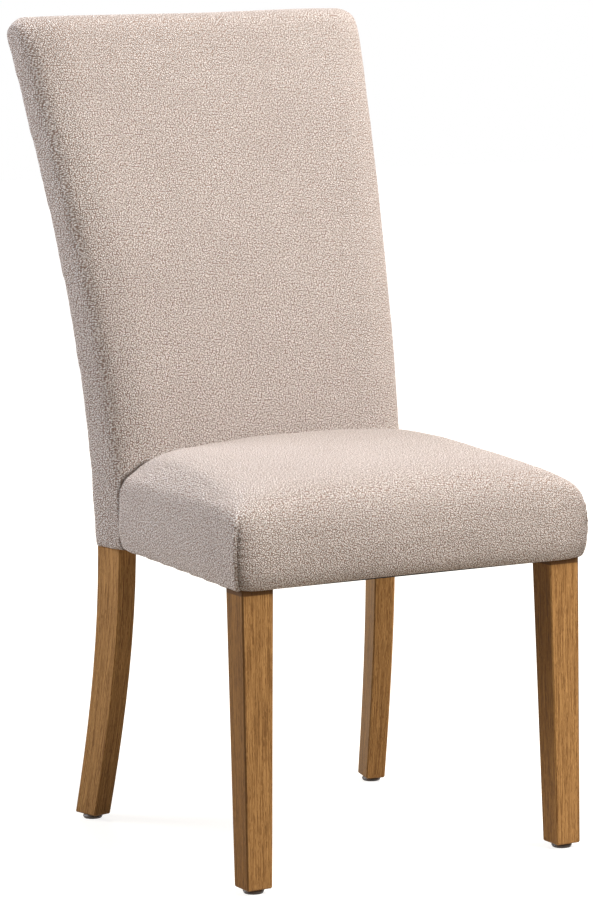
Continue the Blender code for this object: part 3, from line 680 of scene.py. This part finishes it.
# only the outer body stays, and the closed pockets left inside it go
def keepBiggest(piece):
    bm = bmesh.new()
    bm.from_mesh(piece.data)
    bm.verts.ensure_lookup_table()
    seen, bodies = set(), []
    for vert in bm.verts:
        if vert in seen:
            continue
        group, queue = [], [vert]
        seen.add(vert)
        while queue:
            here = queue.pop()
            group.append(here)
            for edge in here.link_edges:
                other = edge.other_vert(here)
                if other not in seen:
                    seen.add(other)
                    queue.append(other)
        bodies.append(group)
    bodies.sort(key=len)
    for group in bodies[:-1]:
        bmesh.ops.delete(bm, geom=group, context="VERTS")
    bm.to_mesh(piece.data)
    bm.free()
    piece.data.update()


# blows the piece up as cloth over foam, with its lower edge held, and lets it give only a little
def swell(piece):
    look = paddingLook
    first, outwards = points(piece), normals(piece)
    held = 1 - smoothStep(*look["free"], first[:, 2])
    start = first - outwards * look["start"] * (1 - held)[:, None]
    movePoints(piece, start)
    group = piece.vertex_groups.new(name="held")
    for index in np.flatnonzero(held > 0.02):
        group.add([int(index)], float(held[index]), "REPLACE")
    cloth = piece.modifiers.new("cloth", "CLOTH")
    settings = cloth.settings
    settings.quality = look["quality"]
    settings.mass = look["mass"]
    settings.tension_stiffness = settings.compression_stiffness = look["stretch"]
    settings.bending_stiffness = look["bend"]
    settings.use_pressure = True
    settings.uniform_pressure_force = look["pressure"]
    settings.effector_weights.gravity = 0.0
    settings.vertex_group_mass = "held"
    settings.pin_stiffness = 1.0
    cloth.point_cache.frame_start = 1
    cloth.point_cache.frame_end = look["frames"]
    for step in range(1, look["frames"] + 1):
        bpy.context.scene.frame_set(step)
    depsgraph = bpy.context.evaluated_depsgraph_get()
    evaluated = piece.evaluated_get(depsgraph)
    swollen = np.empty(len(piece.data.vertices) * 3)
    evaluated.data.vertices.foreach_get("co", swollen)
    swollen = swollen.reshape(-1, 3)
    piece.modifiers.remove(cloth)
    piece.vertex_groups.clear()
    bpy.context.scene.frame_set(1)
    move = swollen - start
    length = np.linalg.norm(move, axis=1)
    print(piece.name, "swelled by", round(float(length.mean() * 1000), 2), "mm before the cap")
    move *= np.minimum(1.0, look["cap"] / np.maximum(length, 1e-9))[:, None]
    gap = np.sum((start + move - first) * outwards, axis=1)
    eased = look["give"] * np.tanh(gap / look["firm"]) * (1 - held)
    movePoints(piece, first + outwards * eased[:, None])


# evens the cloth out, all over or only where it is marked
def relax(piece, rounds, weights=None):
    smooth = piece.modifiers.new("relax", "SMOOTH")
    smooth.factor = 0.5
    smooth.iterations = rounds
    if weights is not None:
        group = piece.vertex_groups.new(name="eased")
        for index in np.flatnonzero(weights > 0.02):
            group.add([int(index)], float(weights[index]), "REPLACE")
        smooth.vertex_group = "eased"
    applyAll(piece)
    piece.vertex_groups.clear()


# stores the painted shade of creases, seams and touching parts, which the chenille reads
def shadeCrease(piece, amounts):
    kept = piece.data.attributes.new("creaseShade", "FLOAT", "POINT")
    kept.data.foreach_set("value", np.clip(amounts, 0, 1))


def subdivided(piece):
    finer = piece.modifiers.new("finer", "SUBSURF")
    finer.levels = finer.render_levels = 1
    applyAll(piece)


def softUndulation(places, scale, size, seed):
    shift = Vector((seed, seed * 2.0, -seed))
    return size * np.array([noise.noise(Vector(place) * scale + shift) for place in places])


# rises from nothing to one and back between two places
def bump(low, high, value):
    share = np.clip((value - low) / (high - low), 0.0, 1.0)
    return np.sin(share * math.pi) ** 2


# the Y at which the seat stops against the back, at each of these heights
def seatRear(z):
    touch = chairLines["backTouch"]
    stops = np.array([postPoint(float(level), *touch)[1] for level in z])
    return stops - seatLook["pressGap"]


def finishPadding(piece, nodeNames):
    piece.data.materials.clear()
    piece.data.materials.append(chenille)
    piece.data.shade_smooth()
    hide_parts(*nodeNames)
    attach(piece, "root")
    print(piece.name, len(piece.data.polygons), "faces")


# the back
backLook = {
    "voxel": 0.0064,
    "levels": (0.3642, 1.0217, 1.0437),
    "fillFront": ((0.030, -0.014), (-0.0082, -0.014)),
    "fillRear": ((-0.0042, -0.003), (0.0, 0.0020), (0.0288, 0.0020)),
    "topCorner": 0.022,
    "wide": 0.0010,
    "wideRight": 0.0012,
    "rackX": 0.0022,
    "rackZ": 0.0105,
    "racked": (0.62, 1.04),
    "sides": (0.15, 0.20),
    "aboveHem": (0.366, 0.38),
    "lift": (0.001, 0.0034),
    "liftRun": (0.02, 0.20),
    "cornerDrop": 0.010,
    "cornerRun": ((0.35, 1.05), (-0.030, 0.004), (0.99, 1.04)),
    "frontRound": 0.0045,
    "frontRun": ((-0.55, 0.1), (0.44, 0.50), (-0.055, -0.005)),
    "rollRounds": 30,
    "rollRun": ((-0.030, -0.012), (-0.2, 0.25), (0.42, 0.46)),
    "undulation": (9.0, 0.0008, 8.0),
}


# how far a point lies behind the front line of the posts, as a share of their depth
def backPlace(places):
    lines = chairLines
    sine, cosine = math.sin(lines["splay"]), math.cos(lines["splay"])
    sweep = np.array([sweepAt(float(z)) for z in places[:, 2]])
    depth = np.array([postDepthAt(float(z)) for z in places[:, 2]])
    side = np.abs(places[:, 0]) - lines["postHalf"]
    rear = places[:, 1] + lines["centre"] - lines["postFront"]
    return (side * sine + rear * cosine - sweep) / depth, side * cosine - rear * sine


# the back is padded a little fuller than its frame and racked by a hair
def sculptBack(places):
    look = backLook
    x, z = places[:, 0], places[:, 2]
    high = smoothStep(*look["racked"], z)
    moved = places.copy()
    side = np.sign(x) * smoothStep(*look["sides"], np.abs(x)) * smoothStep(*look["aboveHem"], z)
    moved[:, 0] += side * (look["wide"] + np.where(x > 0, look["wideRight"], look["rackX"] * high))
    left, right = look["lift"]
    lift = left + (right - left) * smoothStep(*look["liftRun"], x)
    moved[:, 2] += high * (look["rackZ"] * x + lift)
    behind, outside = backPlace(places)
    depths, heights, sides = look["frontRun"]
    front = (1 - smoothStep(*depths, behind)) * smoothStep(*heights, z)
    moved[:, 1] += look["frontRound"] * front * smoothStep(*sides, outside) ** 2
    depths, sides, heights = look["cornerRun"]
    corner = smoothStep(*depths, behind) * smoothStep(*sides, outside)
    moved[:, 2] -= look["cornerDrop"] * corner * smoothStep(*heights, z)
    return moved


# where the cover rolls over the front corners of the back
def rollWeights(places):
    sides, depths, heights = backLook["rollRun"]
    behind, outside = backPlace(places)
    roll = smoothStep(*sides, outside) * (1 - smoothStep(*depths, behind))
    return roll * smoothStep(*heights, places[:, 2])


backHem, backCorner, backRim = backLook["levels"]
backLevels = spread(backHem, backCorner, 16) + spread(backCorner, backRim, 4)[1:]
backFillBlock = solidBlock("backFill", backLevels, backFill)
backNodes = ("back_cover", "back_wadding", "back_foam")
backCushion = joinedCopy("backCushion", backNodes, backFillBlock)
remeshed(backCushion, backLook["voxel"])
swell(backCushion)
relax(backCushion, paddingLook["rounds"])
relax(backCushion, backLook["rollRounds"], rollWeights(points(backCushion)))
places = sculptBack(points(backCushion))
places += normals(backCushion) * softUndulation(places, *backLook["undulation"])[:, None]
movePoints(backCushion, places)
subdivided(backCushion)
finishPadding(backCushion, backNodes)


# the seat
seatLook = {
    "voxel": 0.005,
    "levels": (0.3642, 0.472),
    "fillWall": (0.0035, 0.8, 0.0032),
    "fillShoulder": (0.455, 1.2),
    "fillGaps": (0.001, 0.012, 0.003),
    "reach": (0.007, 0.024),
    "reachRun": ((0.165, 0.185), (0.025, 0.055)),
    "top": (0.455, 0.488),
    "crown": 0.0048,
    "crownRun": (-0.26, -0.01),
    "shoulder": 0.0040,
    "shoulderRun": (0.10, 0.235),
    "lean": 0.0030,
    "leanRun": 0.12,
    "frontDrop": 0.0035,
    "frontDropRun": ((0.19, 0.235), (0.25, 0.295)),
    "rearDrop": 0.006,
    "rearTuck": 0.0024,
    "rearRun": ((0.165, 0.205), (0.015, 0.055), (0.43, 0.47)),
    "wide": (0.0016, 0.0046),
    "wideRun": ((-0.15, 0.05), (0.17, 0.205), (0.362, 0.368)),
    "low": (0.350, 0.422),
    "lowBulge": (0.0030, 0.0014),
    "frontFrom": (0.290, 0.012),
    "hemArch": 0.0016,
    "hemRun": (0.364, 0.385),
    "archRun": (0.195, 0.27, 0.02),
    "press": (0.03, 0.17),
    "pressGap": 0.0006,
    "wrap": 0.018,
    "wrapRun": (0.2125, 0.2185),
    "cornerRounds": 14,
    "cornerRun": ((0.20, 0.225), (0.26, 0.285), (0.425, 0.455)),
    "undulation": (14.0, 0.0009, 3.0),
    "undulationRun": (0.37, 0.40),
    "seamPlace": (0.72, 0.95, 0.0045, 0.0035),
    "seamNear": (0.21, 0.28, 0.014),
    "seamTop": 0.458,
    "seamFade": (0.03, 0.012),
    "seamDepth": 0.0028,
    "seamWidth": (0.0085, 0.0020),
    "seamShade": 0.55,
    "pucker": (0.0006, 0.008, 0.0135, 0.003),
    # reach and strength of the painted shade where seat and back touch
    "contact": (0.006, 1.15),
    "contactRun": (0.03, 0.12, 0.54),
    # the painted shade on the seat's rear edge beside the back, and where it lies
    "fold": 0.6,
    "foldRun": ((-0.0045, -0.001), (0.213, 0.219)),
}


# runs the seat on into the back, so that the contact can press it flat
def growSeatRear(places):
    grown = places.copy()
    low, high = seatLook["reach"]
    sides, depths = seatLook["reachRun"]
    reach = low + (high - low) * smoothStep(*sides, np.abs(places[:, 0]))
    grown[:, 1] += reach * smoothStep(*depths, places[:, 1])
    return grown


# the crown, the fuller sides and the arched hem that the stuffing gives
def sculptSeat(places):
    look = seatLook
    x, y, z = places.T
    side, moved = np.abs(x), places.copy()
    shoulder = look["shoulder"] * bump(*look["shoulderRun"], side)
    lean = look["lean"] * np.clip(x / look["leanRun"], -1, 1)
    lift = smoothStep(*look["crownRun"], y) * (look["crown"] + shoulder + lean)
    sides, depths = look["frontDropRun"]
    lift -= look["frontDrop"] * smoothStep(*sides, side) * smoothStep(*depths, -y)
    sides, depths, heights = look["rearRun"]
    rearCorner = smoothStep(*sides, side) * smoothStep(*depths, y)
    lift -= look["rearDrop"] * rearCorner
    moved[:, 2] += smoothStep(*look["top"], z) * lift
    moved[:, 0] -= np.sign(x) * rearCorner * look["rearTuck"] * smoothStep(*heights, z)
    low = bump(*look["low"], z)
    sideBulge, frontBulge = look["lowBulge"]
    depths, sides, heights = look["wideRun"]
    front, rear = look["wide"]
    wide = front + (rear - front) * smoothStep(*depths, y)
    wide = wide * smoothStep(*heights, z) + sideBulge * low
    moved[:, 0] += np.sign(x) * smoothStep(*sides, side) * wide
    start, run = look["frontFrom"]
    moved[:, 1] -= np.clip((-start - y) / run, 0, 1) * frontBulge * low
    hem = 1 - smoothStep(*look["hemRun"], z)
    half, start, run = look["archRun"]
    arch = np.clip(1 - (x / half) ** 2, 0, 1) * np.clip((-start - y) / run, 0, 1)
    moved[:, 2] += look["hemArch"] * hem * arch
    return moved


# stops the seat where it meets the back's front and the roll at its sides
def pressSeatRear(places, surface):
    look, pressed = seatLook, places.copy()
    flat = seatRear(places[:, 2])
    rearFrom, sideFrom = look["press"]
    for index in np.flatnonzero(places[:, 1] > rearFrom):
        x, y, z = places[index]
        limit = flat[index]
        hit = surface.ray_cast(Vector((x, 0.0, z)), Vector((0, 1, 0)))[0]
        if abs(x) > sideFrom:
            limit += look["wrap"] * (1 - float(smoothStep(*look["wrapRun"], abs(x))))
        if hit is not None:
            limit = min(limit, hit.y - look["pressGap"])
        pressed[index, 1] = min(y, limit)
    return pressed


# where the side and front of the seat meet at this height, on the right
def seatCornerPlace(z):
    lines = chairLines
    fullness, power, before, beside = seatLook["seamPlace"]
    share = np.clip((z - lines["hem"]) / lines["wallTall"], 0, 1)
    out = lines["wallBulge"] * fullness * np.sin(math.pi * share ** power)
    y = -lines["centre"] - before - out
    x = np.array([railOuter(float(v)) for v in y]) + beside + out + seatLook["wide"][0]
    return x, y


# divides the faces round the chosen points once more
def refineNear(piece, chosen):
    activate(piece)
    bpy.ops.object.mode_set(mode="EDIT")
    bpy.ops.mesh.select_all(action="DESELECT")
    bpy.ops.object.mode_set(mode="OBJECT")
    marks = np.zeros(len(piece.data.vertices), bool)
    marks[chosen] = True
    corners = np.empty(len(piece.data.loops), int)
    piece.data.loops.foreach_get("vertex_index", corners)
    starts = np.empty(len(piece.data.polygons), int)
    piece.data.polygons.foreach_get("loop_start", starts)
    inside = np.logical_and.reduceat(marks[corners], starts)
    piece.data.polygons.foreach_set("select", inside)
    bpy.ops.object.mode_set(mode="EDIT")
    bpy.ops.mesh.select_mode(type="FACE")
    bpy.ops.mesh.subdivide(number_cuts=1, smoothness=0.0)
    bpy.ops.object.mode_set(mode="OBJECT")


# how near a point lies to the sewn corner, and how far along the wall from it
def seamFields(places):
    cornerX, cornerY = seatCornerPlace(places[:, 2])
    along = (np.abs(places[:, 0]) - cornerX + places[:, 1] - cornerY) / math.sqrt(2)
    sideFrom, frontFrom = seatLook["seamNear"][:2]
    near = (np.abs(places[:, 0]) > sideFrom) & (places[:, 1] < -frontFrom)
    return along, near


# a pleated seam up each front corner, that fades out below the crown, with painted shade along its
# crease
def sewSeatCorners(piece):
    look = seatLook
    top, (fadeRun, margin) = look["seamTop"], look["seamFade"]
    places = points(piece)
    along, near = seamFields(places)
    near &= (np.abs(along) < look["seamNear"][2]) & (places[:, 2] < top + margin)
    refineNear(piece, np.flatnonzero(near))
    places = points(piece)
    along, near = seamFields(places)
    away, z = np.abs(along), places[:, 2]
    fade = (1 - smoothStep(top - fadeRun, top, z)) * near
    width = np.where(along < 0, *look["seamWidth"])
    groove = look["seamDepth"] * np.exp(-(away / width) ** 1.4) * fade
    height, reach, stitch, start = look["pucker"]
    wave = np.sin(z * 2 * math.pi / stitch + 2.4 * np.sin(z * 90)) * np.minimum(1, away / start)
    pucker = height * np.exp(-away / reach) * fade * wave
    movePoints(piece, places - normals(piece) * (groove - pucker)[:, None])
    return look["seamShade"] * np.exp(-(np.abs(along + 0.0008) / width) ** 1.2) * fade


# painted shade where the seat and the back press on each other
def contactShades(piece, other):
    reach, amount = seatLook["contact"]
    front, rear, top = seatLook["contactRun"]
    surface, places = surfaceOf(other), points(piece)
    shades = np.zeros(len(places))
    y, z = places[:, 1], places[:, 2]
    for index in np.flatnonzero((y > front) & (y < rear) & (z < top)):
        distance = surface.find_nearest(Vector(places[index]), reach)[3]
        if distance is not None:
            shades[index] = amount * (1 - distance / reach)
    return shades


# painted shade on the seat's rear edge, where it folds away beside the back
def foldShades(piece):
    places = points(piece)
    depths, sides = seatLook["foldRun"]
    folded = smoothStep(*depths, places[:, 1] - seatRear(places[:, 2]))
    return seatLook["fold"] * folded * smoothStep(*sides, np.abs(places[:, 0]))


# where the top of the seat rounds off over the front corners
def cornerWeights(places):
    x, y, z = places.T
    sides, depths, heights = seatLook["cornerRun"]
    return smoothStep(*sides, np.abs(x)) * smoothStep(*depths, -y) * smoothStep(*heights, z)


seatFillBlock = solidBlock("seatFill", spread(*seatLook["levels"], 8), seatFill)
seatNodes = ("seat_cover", "seat_wadding", "seat_foam")
seatCushion = joinedCopy("seatCushion", seatNodes, seatFillBlock)
movePoints(seatCushion, growSeatRear(points(seatCushion)))
remeshed(seatCushion, seatLook["voxel"])
swell(seatCushion)
relax(seatCushion, paddingLook["rounds"])
relax(seatCushion, seatLook["cornerRounds"], cornerWeights(points(seatCushion)))
backFront = surfaceOf(backCushion)
places = pressSeatRear(sculptSeat(points(seatCushion)), backFront)
soft = softUndulation(places, *seatLook["undulation"])
soft *= smoothStep(*seatLook["undulationRun"], places[:, 2])
places += normals(seatCushion) * soft[:, None]
movePoints(seatCushion, pressSeatRear(places, backFront))
subdivided(seatCushion)
movePoints(seatCushion, pressSeatRear(points(seatCushion), backFront))
seamShades = sewSeatCorners(seatCushion)
seatShades = np.maximum(contactShades(seatCushion, backCushion), foldShades(seatCushion))
shadeCrease(seatCushion, np.maximum(seamShades, seatShades))
shadeCrease(backCushion, contactShades(backCushion, seatCushion))
finishPadding(seatCushion, seatNodes)


# the outside back, one tight sheet with its edges folded under
panelLook = {
    "columns": 46,
    "rows": 96,
    "inset": 0.0075,
    "topInset": 0.0085,
    "hemInset": 0.0015,
    "corner": 0.020,
    "rest": 0.0013,
    "fold": 0.0011,
    "foldWidth": (0.013, 0.004),
    # how near the edge and how strong the painted shade along the folded edges is
    "shade": (0.0015, 0.75),
    "rearEdge": (-0.0052, 0.0035),
    "behind": 0.08,
    "thick": 0.0012,
    "edge": 0.0005,
}


# the rear corner of the back's cover on the right: half width and Y
def rearEdge(z):
    across, back = panelLook["rearEdge"]
    return postPoint(z, across, postDepthAt(z) + back)


# lays the grid on the back's rear, with its edges folded under, and gives painted shade along those
# edges
def layPanel(panel, low, high):
    look, surface = panelLook, surfaceOf(backCushion)
    places, shades = points(panel), []
    near, shade = look["shade"]
    width, run = look["foldWidth"]
    for index, (a, b, _) in enumerate(places):
        z = low + (high - low) * (b + 1) / 2
        half = rearEdge(z)[0] - look["inset"] - drawnIn(z, high, look["corner"], look["corner"])
        x = a * half
        spot = sculptBack(np.array([[x, rearEdge(z)[1], z]]))[0]
        start = Vector((spot[0], spot[1] + look["behind"], spot[2]))
        hit = surface.ray_cast(start, Vector((0, -1, 0)))[0]
        y = hit.y if hit is not None else spot[1]
        edge = min(half - abs(x), z - low, high - z)
        fold = look["fold"] * (1 - float(smoothStep(width, width + run, edge)))
        shades.append(shade if edge < near else 0.0)
        places[index] = (spot[0], y + look["rest"] + fold, spot[2])
    movePoints(panel, places)
    return np.array(shades)


def makeOutsidePanel():
    look = panelLook
    activate()
    bpy.ops.mesh.primitive_grid_add(
        x_subdivisions=look["columns"], y_subdivisions=look["rows"], size=2, location=(0, 0, 0)
    )
    panel = bpy.context.object
    panel.name = "outsideBackPanel"
    low, high = chairLines["hem"] + look["hemInset"], chairLines["backTop"] - look["topInset"]
    shades = layPanel(panel, low, high)
    editAll(panel, partial(bpy.ops.mesh.normals_make_consistent, inside=False))
    if normals(panel)[:, 1].mean() < 0:
        editAll(panel, bpy.ops.mesh.flip_normals)
    relax(panel, 1)
    shadeCrease(panel, shades)
    cloth = panel.modifiers.new("cloth", "SOLIDIFY")
    cloth.thickness = look["thick"]
    cloth.offset = 0.0
    edge = panel.modifiers.new("edge", "BEVEL")
    edge.width = look["edge"]
    edge.segments = 2
    edge.limit_method = "ANGLE"
    edge.angle_limit = math.radians(60)
    applyAll(panel)
    panel.data.materials.append(chenille)
    panel.data.shade_smooth()
    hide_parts("outside_back_panel")
    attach(panel, "root")


makeOutsidePanel()


# the dust cloth under the seat, cut to the frame and stapled flat
dustLook = {"step": 0.014, "sag": 0.0035, "half": 0.17, "centreY": -0.10}


def makeDustCloth():
    look = dustLook
    lowest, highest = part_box("dust_cover")
    cloth = copyOf("dust_cover")
    cloth.name = "dustCloth"
    cuts = []
    for axis in (0, 1):
        count = int((highest[axis] - lowest[axis]) / look["step"])
        for i in range(1, count):
            at, way = [0.0, 0.0, 0.0], [0.0, 0.0, 0.0]
            at[axis] = lowest[axis] + (highest[axis] - lowest[axis]) * i / count
            way[axis] = 1.0
            cuts.append(partial(bpy.ops.mesh.bisect, plane_co=at, plane_no=way))
    editAll(cloth, partial(bpy.ops.mesh.remove_doubles, threshold=0.00005), *cuts)
    places = points(cloth)
    across = np.clip(1 - (places[:, 0] / look["half"]) ** 2, 0, 1)
    along = np.clip(1 - ((places[:, 1] - look["centreY"]) / look["half"]) ** 2, 0, 1)
    places[:, 2] -= look["sag"] * across * along
    movePoints(cloth, places)
    cloth.data.materials.clear()
    cloth.data.materials.append(blackDustCloth)
    cloth.data.shade_flat()
    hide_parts("dust_cover")
    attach(cloth, "root")


makeDustCloth()


# floor, light and camera

stageLook = {
    "floor": (0.385, 0.35, 0.30),
    "floorSize": 40,
    "lift": (0.82, 1.0),
    "clear": (0.9, 3.2),
    "sky": ((1.0, 0.96, 0.91, 1.0), 0.27),
    "white": ((1.0, 1.0, 1.0, 1.0), 1.0),
}
cameraLook = {
    "yaw": -28.5629,
    "pitch": 6.8372,
    "roll": -0.914,
    "lens": 135.096,
    "sensor": 36.0,
    "place": (-2.0470, -3.7699, 0.9995),
}


# one for the rays that come to the camera, straight, by a mirror or through glass
def seenStraight(tree):
    path = addNode(tree, "ShaderNodeLightPath")
    seen = mathOf(tree, "MAXIMUM", path.outputs["Is Camera Ray"], path.outputs["Is Glossy Ray"])
    return mathOf(tree, "MAXIMUM", seen, path.outputs["Is Transmission Ray"])


# a pale floor that keeps the chair's shadow and is white to the camera elsewhere
def floorMaterial():
    made, tree, shader = newMaterial("paleFloor")
    color = (*stageLook["floor"], 1.0)
    setShader(shader, {"Base Color": color, "Roughness": 0.9, "Specular IOR Level": 0.1})
    glow = addNode(tree, "ShaderNodeEmission", {"Color": (1, 1, 1, 1)})
    reach = addNode(tree, "ShaderNodeVectorMath", operation="LENGTH")
    tree.links.new(objectCoords(tree), reach.inputs[0])
    near, far = stageLook["clear"]
    low, high = stageLook["lift"]
    run = {"From Min": near, "From Max": far, "To Min": low, "To Max": high}
    lift = addNode(tree, "ShaderNodeMapRange", run)
    tree.links.new(reach.outputs["Value"], lift.inputs["Value"])
    strength = mathOf(tree, "MULTIPLY", seenStraight(tree), lift.outputs["Result"])
    tree.links.new(strength, glow.inputs["Strength"])
    both = addNode(tree, "ShaderNodeAddShader")
    tree.links.new(shader.outputs[0], both.inputs[0])
    tree.links.new(glow.outputs[0], both.inputs[1])
    tree.links.new(both.outputs[0], tree.nodes["Material Output"].inputs["Surface"])
    return made


def makeStage():
    activate()
    bpy.ops.mesh.primitive_plane_add(size=stageLook["floorSize"], location=(0, 0, 0))
    floor = bpy.context.object
    floor.name = "studioFloor"
    floor.data.materials.append(floorMaterial())
    world = bpy.data.worlds.new("studioWorld")
    bpy.context.scene.world = world
    world.use_nodes = True
    tree = world.node_tree
    tree.nodes.clear()
    mix = addNode(tree, "ShaderNodeMixShader")
    tree.links.new(seenStraight(tree), mix.inputs[0])
    for place, part in enumerate(("sky", "white"), 1):
        color, strength = stageLook[part]
        light = addNode(tree, "ShaderNodeBackground", {"Color": color, "Strength": strength})
        tree.links.new(light.outputs[0], mix.inputs[place])
    out = addNode(tree, "ShaderNodeOutputWorld")
    tree.links.new(mix.outputs[0], out.inputs["Surface"])


def addLamp(name, place, aim, size, power, color, spread=180):
    data = bpy.data.lights.new(name, "AREA")
    data.shape = "DISK"
    data.size = size
    data.energy = power
    data.color = color
    data.spread = math.radians(spread)
    lamp = bpy.data.objects.new(name, data)
    bpy.context.scene.collection.objects.link(lamp)
    lamp.location = place
    lamp.rotation_euler = (Vector(aim) - Vector(place)).to_track_quat("-Z", "Y").to_euler()


# at the photograph's place, with its small roll
def makeCamera():
    look = cameraLook
    yaw, pitch, roll = (math.radians(look[turn]) for turn in ("yaw", "pitch", "roll"))
    level = math.cos(pitch)
    ahead = Vector((-math.sin(yaw) * level, math.cos(yaw) * level, -math.sin(pitch)))
    right = Vector((math.cos(yaw), math.sin(yaw), 0))
    up = right.cross(ahead)
    rolledRight = right * math.cos(roll) + up * math.sin(roll)
    rolledUp = up * math.cos(roll) - right * math.sin(roll)
    data = bpy.data.cameras.new("chairCamera")
    data.lens = look["lens"]
    data.sensor_width = look["sensor"]
    camera = bpy.data.objects.new("chairCamera", data)
    bpy.context.scene.collection.objects.link(camera)
    turn = Matrix((rolledRight, rolledUp, -ahead)).transposed().to_4x4()
    camera.matrix_world = Matrix.Translation(look["place"]) @ turn
    bpy.context.scene.camera = camera


makeStage()
addLamp(
    "keyLamp", place=(1.65, -1.75, 3.8), aim=(0, 0, 0.55), size=2.4, power=292.0,
    color=(1.0, 0.985, 0.965),
)
addLamp(
    "backLamp", place=(1.3, 4.0, 2.2), aim=(0, 0.3, 0.6), size=2.0, power=60.0,
    color=(1.0, 0.98, 0.96),
)
addLamp(
    "rimLamp", place=(-2.0, 1.7, 1.5), aim=(-0.25, 0.1, 0.78), size=1.4, power=12.0,
    color=(0.88, 0.92, 1.0), spread=70,
)
makeCamera()
bpy.context.scene.view_settings.view_transform = "Standard"
print("stage, lamps and camera")
